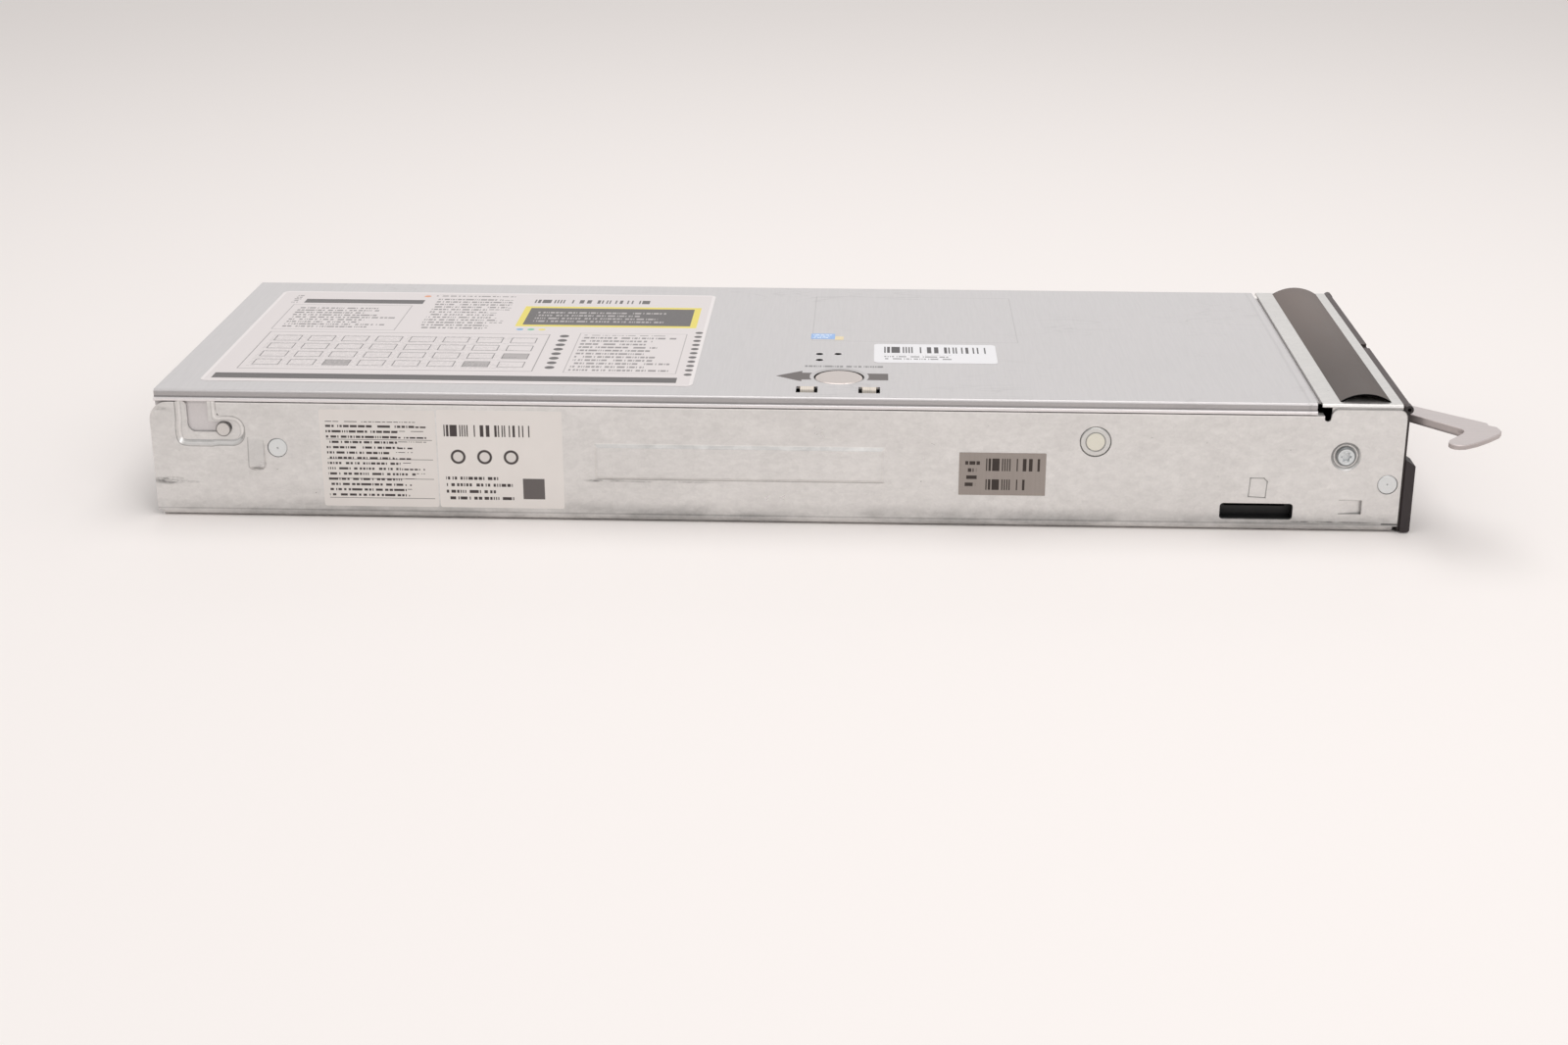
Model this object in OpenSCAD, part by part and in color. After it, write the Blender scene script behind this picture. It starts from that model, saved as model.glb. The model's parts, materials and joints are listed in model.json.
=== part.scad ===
// Half-height blade server, lying on its side wall's long base with the access hood up.
// X runs from the rear connectors to the front bezel, Y across, Z up.
// The origin is on the floor, in the middle of the sheet metal body.

/* [Chassis] */
// Length of the sheet metal body
blade_l = 514; // [505:1:620]
// Width across the outer faces of the side walls
blade_w = 181; // [180:1:220]
// Height from the floor to the top of the hood
blade_h = 54.2; // [54:0.2:66]
// Thickness of all folded sheet
sheet_t = 1; // [0.8:0.1:1.2]
// Outer radius of the long bottom bends
bend_r = 2.4; // [1.6:0.1:3]
// Radius of the side walls' rear top corner
rear_corner_r = 8; // [4:0.5:12]
// Height of the front tabs above the side walls
tab_rise = 3; // [2:0.1:3.2]
// Length of the front tabs
tab_l = 30.5; // [28:0.1:40]
// Depth of the pressed recess round each bayonet slot
recess_depth = 1.2; // [0.8:0.1:1.4]

/* [Hood] */
// Drop from the hood's top to its side ledges
ledge_drop = 3.1; // [2:0.1:4]
// How far the ledges stick out from the hood's sides
ledge_w = 1.6; // [1:0.1:3]
// Thickness of the hood's hemmed ledges
ledge_t = 1.4; // [1:0.1:2]
// Travel of the hood from locked to free
hood_travel = 10.2; // [6:0.1:14]
// Gap between the hood and the front plate
hood_gap = 1.9; // [1:0.1:3]
// Diameter of the hood release button
hood_button_d = 20; // [12:0.5:24]
// Radius of the bayonet pins' shank
pin_r = 1.4; // [1.3:0.05:1.8]
// Radius of the bayonet pins' head
pin_head_r = 3.1; // [2.6:0.1:3.6]

/* [Front] */
// Length of the front plate along the blade
plate_l = 32.4; // [30:0.1:40]
// Width of the arched gasket
gasket_w = 20.7; // [12:0.1:24]
// Rise of the arched gasket
gasket_rise = 3.3; // [2:0.1:5]
// How far the bezel stands in front of the side walls
bezel_proud = 1; // [0.6:0.1:3]
// Thickness of the bezel's front wall
bezel_t = 2.7; // [2:0.1:4]
// How far the drive carriers and the tab housing stand in front of the bezel
front_proud = 4; // [2:0.5:8]

/* [Ejector lever] */
// Length of the lever's arm from its pivot to the outer edge of the finger hook
lever_l = 55.9; // [45:0.1:60]
// Width of the lever's arm at the pivot
arm_w = 10.8; // [8:0.1:14]
// Length of the finger hook, from the arm's back edge
hook_l = 34.6; // [28:0.1:42]
// Thickness of the lever
lever_t = 3.6; // [2.5:0.1:5]
// Angle between the shown open lever and the closed one
lever_swing = 132; // [90:1:135]
// Diameter of the lever's pivot pin
lever_pin_d = 5; // [3:0.1:6]

/* [Drives] */
// Width of a drive carrier
carrier_w = 76; // [74:0.5:80]
// Height of a drive carrier
carrier_h = 19.6; // [17.5:0.1:20]
// Clear height of a drive bay
bay_h = 21.5; // [20.5:0.1:22]
// Length of a drive carrier
carrier_l = 112; // [105:1:125]
// Thickness of a disk drive
drive_t = 15; // [9.5:0.5:15]

/* [Board] */
// Gap under the system board
board_lift = 5; // [3:0.5:6]
// Thickness of the system board
board_t = 2; // [1.6:0.2:2.4]
// Number of memory sockets in each bank
bank_sockets = 6; // [3:1:6]
// Distance from one memory socket to the next
socket_pitch = 9; // [8.5:0.1:9.5]
// Distance from one heat sink fin to the next
fin_pitch = 2.6; // [2.2:0.1:4]

/* [Hidden] */
$fn = 48;
eps = 0.01;
// Clearance of a shaft in its hole
run_gap = 0.05;
// Clearance of parts that slide past each other
slide_gap = 0.3;

// Ends and sides of the sheet metal body
rear = -blade_l / 2;
front = blade_l / 2;
near = -blade_w / 2;
far = blade_w / 2;
hood_under = blade_h - sheet_t;
ledge_top = blade_h - ledge_drop;
wall_top = ledge_top - ledge_t - slide_gap;
tab_top = wall_top + tab_rise;
tab_rear = front - tab_l;
plate_rear = front - plate_l - 1.7;
plate_front = front - 1.7;
hood_rear = rear + 2.2;
hood_front = plate_rear - hood_gap;
hood_side = near + ledge_w;
bezel_front = front + bezel_proud;
bezel_back = bezel_front - bezel_t;

// Bayonet slot in each side wall, and the pin in it
pin_x = rear + 30.3;
pin_z = wall_top - 11.7;
slot_low = pin_z - pin_r - 0.1;
slot_high = slot_low + 4.7;
recess_x = pin_x - hood_travel - 9.2;
ear_in = sheet_t + recess_depth + slide_gap;

// Brackets inside the side walls
flange_in = sheet_t + 0.1;
brace_top = wall_top - sheet_t - slide_gap;
middle_x = front - 124.8;
rear_brace_x = rear + 52.4;
stud_z = 37.3;
disc_r = 4;
rivet_z_rear = 30.1;
rivet_z_front = 20.5;
rivet_x_front = front - 5.5;
screw_x = front - 23.2;
screw_z = 32.3;

// Ejector lever
pivot = [front - 6, near + 23];
lever_z = 45.2;
hook_t = 2;
slot_y = [near + 6.4, pivot[1] + lever_l + 2.2];
button_y = slot_y[1] + 2;
button_z = lever_z - 3.8;

// Drive bays, stacked in the far half of the front
cage_y = [far - 5 - 2 * sheet_t - carrier_w - 2, far - 5];
cage_x = [front - 114, front - 5];
bay_floor = [sheet_t + 4, sheet_t + 4 + bay_h + sheet_t];
cage_top = bay_floor[1] + bay_h + sheet_t;
carrier_y = cage_y[0] + sheet_t + 1;
carrier_front = bezel_front + front_proud;
carrier_rear = carrier_front - carrier_l;
handle_pin = [carrier_front - 3.2, carrier_y + carrier_w - 5];

// System board
board_z = sheet_t + board_lift;
board_top = board_z + board_t;
board_rear = rear + 5;
board_front = middle_x - 9.2;
socket_l = 142;
module_l = 133.4;
bank_x = [board_front - socket_l - 8, rear + 122];
cpu_x = [board_front - 56, rear + 172];
cpu_y = [far - 58, near + 57];
sink_l = 88;
sink_w = 92;
sink_top = brace_top - 0.5;
lid_h = 5;

// Button on the hood
button_pos = [rear + 284, near + 31.7];
shelf_z = [44.5, 45.5];

module block(lo, hi) translate(lo) cube(hi - lo);
module rod_x(p, r, l) translate(p) rotate([0, 90, 0]) cylinder(r = r, h = l);
module rod_y(p, r, l) translate(p) rotate([-90, 0, 0]) cylinder(r = r, h = l);
module rod_z(p, r, l) translate(p) cylinder(r = r, h = l);

// The near side's pieces and their mirror images on the far side
module both_sides() {
    children();
    mirror([0, 1, 0]) children();
}

// Lays a flat XZ drawing against the near wall, from depth y0 to y1 inwards
module on_wall(y0, y1) {
    translate([0, near + y1, 0])
        rotate([90, 0, 0])
            linear_extrude(y1 - y0)
                children();
}

// Cuts the corner at p down to a radius; a turns the cutter, 0 is a lower left corner
module round_off(p, r, a) {
    translate(p)
        rotate(a)
            difference() {
                translate([-eps, -eps]) square(r + eps);
                translate([r, r]) circle(r);
            }
}

module rounded_square(lo, hi, r) {
    difference() {
        translate(lo) square(hi - lo);
        round_off(lo, r, 0);
        round_off([hi[0], lo[1]], r, 90);
        round_off(hi, r, 180);
        round_off([lo[0], hi[1]], r, 270);
    }
}

// A spring of round wire, standing on z = 0
module coil_spring(radius, wire_r, height, turns) {
    sides = 8;
    rings = turns * 16;
    rise = (height - 2 * wire_r) / rings;
    points = [for (i = [0:rings]) for (k = [0:sides - 1])
        let (a = i * 22.5, b = k * 360 / sides, q = radius + wire_r * cos(b))
        [q * cos(a), q * sin(a), wire_r + i * rise + wire_r * sin(b)]];
    skin = [for (i = [0:rings - 1]) for (k = [0:sides - 1])
        let (n = (k + 1) % sides)
        [i * sides + k, i * sides + n, (i + 1) * sides + n, (i + 1) * sides + k]];
    start_cap = [[for (k = [0:sides - 1]) sides - 1 - k]];
    end_cap = [[for (k = [0:sides - 1]) rings * sides + k]];
    polyhedron(points, concat(skin, start_cap, end_cap));
}

// ---- Sheet metal body ----

// Side view of the pan: both walls with the floor's bent edge
module pan_side_view() {
    difference() {
        union() {
            translate([rear, bend_r]) square([blade_l, wall_top - bend_r]);
            translate([rear + 2, 0]) square([blade_l - 4, bend_r + eps]);
            translate([tab_rear, bend_r]) square([tab_l, tab_top - bend_r]);
        }
        round_off([rear, wall_top], rear_corner_r, 270);
        round_off([tab_rear, tab_top], 3.2, 270);
        round_off([front, tab_top], 3.2, 180);
        relief_cut();
        bayonet_slot();
    }
}

// Relief between the wall's folded top edge and the front tab
module relief_cut() {
    translate([tab_rear - 1.3, wall_top - 1]) circle(1.3);
    translate([tab_rear - 2.6, wall_top - 1]) square([2.6, 8]);
}

module bayonet_slot() {
    leg_x = pin_x - hood_travel;
    half = (slot_high - slot_low) / 2;
    translate([leg_x - half, slot_low]) square([pin_x + 1.2 - leg_x + half, 2 * half]);
    translate([pin_x + 1.2, (slot_low + slot_high) / 2]) circle(half);
    difference() {
        translate([leg_x - 4.8, slot_low]) square([8.8, wall_top]);
        round_off([leg_x - 4.8, slot_low], 3.2, 0);
    }
    round_off([leg_x - 4.8, wall_top], 2, 180);
}

// Cross view of the pan between its side walls
module pan_cross_view(inset) {
    w = blade_w - 2 * inset;
    r = bend_r - inset;
    translate([-w / 2 + r, inset]) square([w - 2 * r, tab_top]);
    translate([-w / 2, bend_r]) square([w, tab_top - bend_r]);
    for (side = [-1, 1])
        translate([side * (w / 2 - r), bend_r]) circle(r);
}

// The folded top edge that the hood's ledges rest on
module wall_flange() {
    r = 1.6;
    translate([pin_x + 6, near, wall_top])
        rotate([0, 90, 0])
            linear_extrude(tab_rear - 2.6 - pin_x - 6)
                difference() {
                    square([r + sheet_t, 4.5]);
                    translate([sheet_t, sheet_t]) square([r + sheet_t, 4.5]);
                    round_off([0, 0], r, 0);
                }
}

// Outline of the pressed recess at the wall's surface
recess_low = pin_z - 6.9;
recess_high = pin_z + 5.8;
recess_r = (recess_high - recess_low) / 2;
module recess_edge() {
    translate([pin_x + 2.65, (recess_low + recess_high) / 2]) circle(recess_r, $fn = 32);
    translate([recess_x + 3, recess_low + 3]) circle(3, $fn = 32);
    translate([recess_x, pin_z]) square([4, recess_high - pin_z]);
}

// Outline of its floor; the slope is widest below and steep at the top and the front
module recess_floor() {
    r = recess_r - 1.25;
    translate([pin_x + 3.35, recess_high - 0.4 - r]) circle(r, $fn = 32);
    translate([recess_x + 3.2, recess_low + 4.2]) circle(2, $fn = 32);
    translate([recess_x + 1.2, pin_z]) square([4, recess_high - 0.4 - pin_z]);
}

module bayonet_recess() {
    leg_w = pin_x - 2.5 - recess_x;
    hull() {
        on_wall(-eps, 0) recess_edge();
        on_wall(recess_depth - eps, recess_depth) recess_floor();
    }
    hull() {
        on_wall(-eps, 0) translate([recess_x, pin_z]) square([leg_w, wall_top - pin_z + 1]);
        on_wall(recess_depth - eps, recess_depth)
            translate([recess_x + 1.2, pin_z]) square([leg_w - 1.7, wall_top - pin_z + 1]);
    }
    // Hollow corner between the leg and the foot
    on_wall(-eps, recess_depth)
        difference() {
            translate([pin_x - 3, recess_high - 1]) square([3.1, 3.6]);
            translate([pin_x + 0.1, recess_high + 2.6]) circle(2.6);
        }
}

// Metal that carries the recess floor behind the wall
module bayonet_backing() {
    on_wall(sheet_t - eps, sheet_t + recess_depth) {
        difference() {
            union() {
                translate([pin_x + 2.65, pin_z - 0.55]) circle(recess_r);
                translate([recess_x, recess_low]) square([pin_x + 2.65 - recess_x, recess_high - recess_low]);
                translate([recess_x, pin_z - 3]) square([pin_x - 2.5 - recess_x, wall_top - pin_z + 3]);
            }
            round_off([recess_x, recess_low], 3, 0);
            bayonet_slot();
        }
    }
}

// A shallow pressing with sloped sides, raised h outwards from depth y of the wall
module pressing(x0, x1, z0, z1, y, h, slope) {
    intersection() {
        translate([0, near, z0])
            linear_extrude(z1 - z0)
                polygon([[x0, y], [x0 + slope, y - h], [x1 - slope, y - h], [x1, y]]);
        translate([x0, near, 0])
            rotate([90, 0, 90])
                linear_extrude(x1 - x0)
                    polygon([[y, z0], [y - h, z0 + slope], [y - h, z1 - slope], [y, z1]]);
    }
}

// Ramp bump near the rear, flush at its top and proud at its foot
module ramp_bump(y) {
    intersection() {
        translate([rear + 40, near + y, 0])
            rotate([90, 0, 90])
                linear_extrude(6.8)
                    polygon([[0, 34], [-1.2, 22.6], [-1.2, 22], [0, 20.2]]);
        on_wall(-2, 1)
            rounded_square([rear + 40, 20.2], [rear + 46.8, 36], 2.2);
    }
}

// Ramp pressed inwards near the front, deepest at its front end
module ramp_dent(y0, y1) {
    translate([0, near, 7.6])
        linear_extrude(5.9)
            polygon([[front - 25.6, y0], [front - 15.7, y1], [front - 15.3, y1], [front - 15.3, y0]]);
}

module screw_dimple(y) {
    translate([screw_x, near + y, screw_z])
        rotate([-90, 0, 0])
            cylinder(r1 = 6.1, r2 = 4.9, h = sheet_t + eps);
}

module card_slot_view() {
    rounded_square([front - 72.8, board_top - 3.3], [front - 43, board_top + 3.7], 1.5);
}

module base_pan() color("silver") {
    difference() {
        union() {
            intersection() {
                translate([rear, 0, 0])
                    rotate([90, 0, 90])
                        linear_extrude(blade_l)
                            difference() {
                                pan_cross_view(0);
                                pan_cross_view(sheet_t);
                            }
                translate([0, blade_w, 0])
                    rotate([90, 0, 0])
                        linear_extrude(2 * blade_w)
                            pan_side_view();
            }
            both_sides() {
                wall_flange();
                bayonet_backing();
                screw_dimple(sheet_t - eps);
            }
            pressing(rear + 184, rear + 303.5, 18.1, 33.5, eps, 0.8, 1.4);
            ramp_bump(eps);
            translate([0, near, 6.5])
                linear_extrude(8)
                    polygon([[front - 28, sheet_t - eps], [front - 15.7, sheet_t + 1.5],
                        [front - 14.3, sheet_t + 1.5], [front - 14.3, sheet_t - eps]]);
        }
        both_sides() {
            bayonet_recess();
            screw_dimple(-eps);
            rod_y([screw_x, near, screw_z], 2.2, 4);
            rod_y([rear_brace_x, near - 1, rivet_z_rear], disc_r + 0.15, 4);
            rod_y([rivet_x_front, near - 1, rivet_z_front], disc_r + 0.15, 4);
            rod_y([middle_x, near - 1, stud_z], 6.5, 4);
        }
        pressing(rear + 185, rear + 302.5, 19.1, 32.5, sheet_t + eps, 0.8, 1.4);
        ramp_dent(-eps, 1.5);
        on_wall(-1, sheet_t + 1) card_slot_view();
        // Thin relief where the floor's bend ends at the front
        on_wall(-1, sheet_t + eps) translate([front - 6.6, 3.1]) square([7, 0.45]);
        for (p = standoff_places) rod_z([p[0], p[1], -1], 2.4 + run_gap, 4);
        floor_beads();
    }
}

// Long grooves that stiffen the floor, pressed up from below
module floor_beads() {
    for (y = [near + 30, 0, far - 30])
        translate([rear + 60, y, 0])
            rotate([0, 90, 0])
                cylinder(r = 0.6, h = board_front - rear - 120);
}

// ---- Hood ----

// Cross view of the hood: top, two sides and their ledges
module hood_cross_view() {
    top_w = -2 * hood_side;
    difference() {
        rounded_square([-top_w / 2, ledge_top - ledge_t - 3], [top_w / 2, blade_h], 1.2);
        translate([-top_w / 2 + sheet_t, ledge_top - ledge_t - 4])
            square([top_w - 2 * sheet_t, blade_h - ledge_top + ledge_t - sheet_t + 4]);
        translate([-top_w, ledge_top - ledge_t - 10]) square([2 * top_w, 10]);
    }
    for (side = [-1, 1])
        translate([side * (-hood_side - 0.4), 0])
            mirror([side < 0 ? 1 : 0, 0])
                difference() {
                    translate([0, ledge_top - ledge_t]) square([ledge_w + 0.3, ledge_t]);
                    round_off([ledge_w + 0.3, ledge_top], 0.45, 180);
                    round_off([ledge_w + 0.3, ledge_top - ledge_t], 0.45, 90);
                }
}

// Ear inside each side wall that carries the bayonet pin
module hood_ear() {
    on_wall(ear_in, ear_in + sheet_t)
        difference() {
            translate([hood_rear, pin_z - 6])
                square([pin_x + 6 - hood_rear, hood_under - pin_z + 6]);
            round_off([hood_rear, pin_z - 6], 3, 0);
            round_off([pin_x + 6, pin_z - 6], 3, 90);
        }
}

// Windows beside the button, each with a tongue curled down from its far edge
window_x = [button_pos[0] - 17.4, button_pos[0] + 8.3];
module hood_window(x) block([x, near + 8.4, hood_under - 1], [x + 8.9, near + 17, blade_h + 1]);
module hood_tongue(x) {
    translate([x + 1.6, near + 17 + eps, blade_h - 4.6])
        rotate([90, 0, 90])
            rotate_extrude(angle = 85, start = 90)
                translate([3.6, 0]) square([sheet_t, 5.7]);
}

module hood() color("gainsboro") {
    difference() {
        union() {
            translate([hood_rear, 0, 0])
                rotate([90, 0, 90])
                    linear_extrude(hood_front - hood_rear)
                        hood_cross_view();
            both_sides() hood_ear();
            block([hood_rear, hood_side + 5, ledge_top - 4],
                [hood_rear + sheet_t, -hood_side - 5, hood_under + eps]);
            front_lip();
            rod_z([button_pos[0], button_pos[1], hood_under - 0.6], hood_button_d / 2 + 2.6, 0.6 + eps);
        }
        rod_z([button_pos[0], button_pos[1], hood_under - 2], hood_button_d / 2 + 0.5, 4);
        translate([button_pos[0], button_pos[1], blade_h - 0.3])
            cylinder(r1 = hood_button_d / 2 + 1.3, r2 = hood_button_d / 2 + 2.2, h = 0.3 + eps);
        both_sides() rod_y([pin_x, near, pin_z], 1.2, 6);
        for (x = window_x) hood_window(x);
        for (p = [[-9, 33.6], [-1, 34], [-8.8, 24.5]])
            rod_z([button_pos[0] + p[0], button_pos[1] + p[1], hood_under - 1], 1.6, 3);
    }
    for (x = window_x) hood_tongue(x);
}

// Joggled lip that runs under the front plate
module front_lip() {
    translate([0, far - 8, 0])
        rotate([90, 0, 0])
            linear_extrude(blade_w - 16)
                polygon([[hood_front - 8, hood_under + eps], [hood_front - 1, hood_under + eps],
                    [hood_front + 1, hood_under - slide_gap], [hood_front + 8, hood_under - slide_gap],
                    [hood_front + 8, hood_under - slide_gap - 0.8], [hood_front - 8, hood_under - 0.8]]);
}

module bayonet_pins() color("lightgray") {
    both_sides() {
        rod_y([pin_x, near + 0.15, pin_z], pin_head_r, 0.9);
        rod_y([pin_x, near + 1, pin_z], pin_r, ear_in - 1);
        rod_y([pin_x, near + 1, pin_z], 1.2 - run_gap, ear_in + sheet_t - 1 + 0.4);
        rod_y([pin_x, near + ear_in + sheet_t, pin_z], 2.2, 0.6);
    }
}

module hood_release_button() color("lightgray") {
    r = hood_button_d / 2;
    translate([button_pos[0], button_pos[1], 0])
        rotate_extrude()
            polygon([[0, shelf_z[0] - 2.6], [5.2, shelf_z[0] - 2.6], [5.2, shelf_z[0] - 0.6],
                [3, shelf_z[0] - 0.6], [3, blade_h - 2], [r - 0.6, blade_h - 2],
                [r, blade_h - 1.6], [r, blade_h - 0.7], [r - 0.7, blade_h - 0.25],
                [r - 2, blade_h - 0.1], [0, blade_h]]);
}

cup_floor = shelf_z[1] + 0.8;
module hood_latch_cup() color("darkgray") {
    r = hood_button_d / 2 + 2.9;
    translate([button_pos[0], button_pos[1], 0])
        difference() {
            rotate_extrude()
                polygon([[3 + slide_gap, cup_floor], [r + 1, cup_floor], [r + 1, hood_under - 1],
                    [r + 4, hood_under - 1], [r + 4, hood_under], [r, hood_under],
                    [r, cup_floor + 1], [3 + slide_gap, cup_floor + 1]]);
            for (x = [-17.8, 7.9])
                translate([x, -r - 12, hood_under - 8]) cube([9.7, 17, 9]);
        }
}

module hood_button_spring() color("dimgray") {
    translate([button_pos[0], button_pos[1], cup_floor + 1 + eps])
        coil_spring(6.5, 0.4, blade_h - 2 - cup_floor - 1 - 0.1, 3);
}

// Wall bracket with the keyhole that the button's collar locks into
module hood_catch_bracket() color("silver") {
    x0 = button_pos[0] - 22;
    x1 = button_pos[0] + 22;
    y1 = button_pos[1] + 11;
    difference() {
        union() {
            block([x0, near + flange_in, stud_z], [x1, near + flange_in + sheet_t, shelf_z[1]]);
            block([x0, near + flange_in, shelf_z[0]], [x1, y1, shelf_z[1]]);
            block([x0, y1 - sheet_t, shelf_z[0] - 3], [x1, y1, shelf_z[1]]);
        }
        rod_z([button_pos[0], button_pos[1], shelf_z[0] - 1], 6, 3);
        rod_z([button_pos[0] - hood_travel, button_pos[1], shelf_z[0] - 1], 3.5, 3);
        block([button_pos[0] - hood_travel, button_pos[1] - 3.5, shelf_z[0] - 1],
            [button_pos[0], button_pos[1] + 3.5, shelf_z[1] + 1]);
    }
}

// ---- Front plate, gasket and side fasteners ----

module front_plate_view() {
    w = blade_w - 2 * flange_in;
    difference() {
        rounded_square([-w / 2, 10], [w / 2, blade_h], 1.5);
        translate([-w / 2 + sheet_t, 0]) square([w - 2 * sheet_t, hood_under]);
        translate([-w, 0]) square([2 * w, 16]);
    }
}

module front_plate() color("silver") {
    difference() {
        union() {
            translate([plate_rear, 0, 0])
                rotate([90, 0, 90])
                    linear_extrude(plate_front - plate_rear)
                        front_plate_view();
            both_sides()
                block([screw_x - 7, near + flange_in + sheet_t - eps, screw_z - 6],
                    [screw_x + 7, near + flange_in + sheet_t + 2, screw_z + 6]);
        }
        both_sides() {
            block([plate_rear - 1, near, 0], [tab_rear + 0.4, near + 5, hood_under - 0.4]);
            block([plate_front - 1, near, 0], [plate_front + 1, near + 3, wall_top + 1]);
            rod_y([screw_x, near, screw_z], 7.2, flange_in + sheet_t);
            rod_y([screw_x, near, screw_z], 2 + run_gap, 8);
            rod_y([rivet_x_front, near, rivet_z_front], 2.5 + run_gap, 6);
        }
        // Room for the bezel's snap tongues
        for (y = [near + 40, far - 40]) block([plate_front - 3, y, hood_under - 1], [plate_front + 1, y + 8, blade_h - 0.5]);
    }
}

module arched_gasket() color("dimgray") {
    half = gasket_w / 2;
    r = (half * half + gasket_rise * gasket_rise) / (2 * gasket_rise);
    x = plate_front - 14.5;
    translate([x, near + 4.6, blade_h])
        rotate([-90, 0, 0])
            linear_extrude(blade_w - 9.2)
                intersection() {
                    difference() {
                        translate([0, r - gasket_rise]) circle(r, $fn = 96);
                        translate([0, r - gasket_rise]) circle(r - 0.6, $fn = 96);
                    }
                    translate([-half, -gasket_rise - 1]) square([gasket_w, gasket_rise + 1]);
                }
}

module star_recess(depth) {
    cylinder(r = 1.6, h = depth);
    for (a = [0:60:300]) rotate(a) translate([1.7, 0, 0]) cylinder(r = 0.55, h = depth, $fn = 24);
}

module wall_screws() color("gainsboro") {
    both_sides()
        translate([screw_x, near, screw_z])
            rotate([-90, 0, 0])
                difference() {
                    union() {
                        rotate_extrude()
                            polygon([[0, -0.25], [3, -0.25], [3.2, -0.5], [3.6, -0.5], [4.1, 0], [4.1, sheet_t],
                                [0, sheet_t]]);
                        cylinder(r = 2, h = flange_in + sheet_t + 2.4);
                    }
                    translate([0, 0, -1]) star_recess(1.9);
                }
}

module flush_rivets() color("whitesmoke") {
    both_sides() {
        for (p = [[rear_brace_x, rivet_z_rear], [rivet_x_front, rivet_z_front]])
            translate([p[0], near, p[1]])
                rotate([-90, 0, 0])
                    rotate_extrude()
                        polygon([[0, 0.25], [0.35, -0.1], [disc_r - 0.3, -0.1], [disc_r, 0.2], [disc_r, sheet_t], [2.5, sheet_t],
                            [2.5, flange_in + sheet_t + 0.6], [0, flange_in + sheet_t + 0.6]]);
    }
}

module ring_studs() color("gainsboro") {
    both_sides()
        translate([middle_x, near, stud_z])
            rotate([-90, 0, 0])
                rotate_extrude()
                    polygon([[0, -0.45], [3.6, -0.45], [3.7, -0.1], [4, -0.1], [4.1, -0.3], [5.8, -0.2], [6.3, 0.3],
                        [6.3, sheet_t], [4, sheet_t], [4, flange_in + sheet_t + 0.7], [0, flange_in + sheet_t + 0.7]]);
}

// Channel that joins the two walls, fastened at height z of the walls
module brace(x, z, hole_r) {
    w = 15;
    difference() {
        union() {
            block([x - w / 2, near + flange_in, brace_top - sheet_t], [x + w / 2, far - flange_in, brace_top]);
            for (dx = [-w / 2, w / 2 - sheet_t])
                block([x + dx, near + flange_in, brace_top - 4.5], [x + dx + sheet_t, far - flange_in, brace_top]);
            both_sides()
                block([x - w / 2, near + flange_in, z - 7], [x + w / 2, near + flange_in + sheet_t, brace_top]);
        }
        both_sides() rod_y([x, near, z], hole_r + run_gap, 5);
        for (y = [near + 22:19.5:far - 20])
            rod_z([x, y, brace_top - 3], 3.6, 4);
    }
}
module rear_brace() color("silver") brace(rear_brace_x, rivet_z_rear, 2.5);
module middle_brace() color("silver") brace(middle_x, stud_z, 4);

// ---- Bezel and what it holds ----

led_y = [for (i = [0:4]) near + 66 + i * 5];
led_z = 38;
power_pos = [near + 87, 30];
port_y = [near + 34, near + 64];
port_z = [board_top, board_top + 9.5];
grille_y = [near + 14, near + 62];
grille_z = [20.5, 39];

// Face of the bezel, inset from the body's outer faces
module bezel_front_view(inset) {
    difference() {
        rounded_square([near + inset, inset], [far - inset, blade_h], 1.5);
        // Slot that the ejector lever swings in
        translate([slot_y[0], lever_z - 0.5]) square([slot_y[1] - slot_y[0], lever_t + 1]);
        translate([button_y, button_z]) square([10.6, 9.6]);
        // Both drive bays
        for (z = bay_floor)
            translate([carrier_y - 0.6, z]) square([carrier_w + 1.2, carrier_h + 0.8]);
        rounded_square([grille_y[0], grille_z[0]], [grille_y[1], grille_z[1]], 1.5);
        translate([port_y[0] - slide_gap, port_z[0] - slide_gap])
            square([port_y[1] - port_y[0] + 2 * slide_gap, port_z[1] - port_z[0] + 2 * slide_gap]);
        translate([power_pos[0], power_pos[1]]) circle(4.6);
        for (y = led_y) translate([y, led_z]) circle(1.3);
        translate([near + 3.6, 4.2]) square([3.2, 21.6]);
        // Small notch in the middle of the top edge
        translate([-5.8, blade_h - 1.1]) square([6.2, 2]);
    }
}

module front_bezel() color("dimgray") {
    difference() {
        union() {
            translate([bezel_back, 0, 0])
                rotate([90, 0, 90])
                    linear_extrude(bezel_t)
                        bezel_front_view(sheet_t + 0.15);
            translate([front + 0.05, 0, 0])
                rotate([90, 0, 90])
                    linear_extrude(bezel_proud - 0.05)
                        bezel_front_view(0.25);
            // Turned-back rim along the top and the bottom
            block([bezel_back - 5, near + 6, hood_under - 2.2], [bezel_back + eps, far - 6, hood_under - 0.2]);
            block([bezel_back - 3, near + 12, sheet_t + 0.1], [bezel_back + eps, far - 6, 3.6]);
            // Frame round the grille
            for (y = [grille_y[0] - 2, grille_y[1]])
                block([bezel_back - 2.5, y, grille_z[0] - 2], [bezel_back + eps, y + 2, grille_z[1] + 2]);
            // Rounded knuckles at the ends of the top edge
            for (y = [near - 0.3, far - 4])
                rod_y([front + 0.4, y, blade_h - 1.6], 1.7, 4.3);
        }
        for (y = [near - 1, far - 2]) rod_y([front + 0.4, y, blade_h - 1.6], 0.75, 3.5);
        // The top edge's outer corner is chamfered
        translate([bezel_front, 0, 0.4])
            rotate([0, 45, 0]) cube([0.8, blade_w - 20, 0.8], center = true);
    }
}

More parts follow.
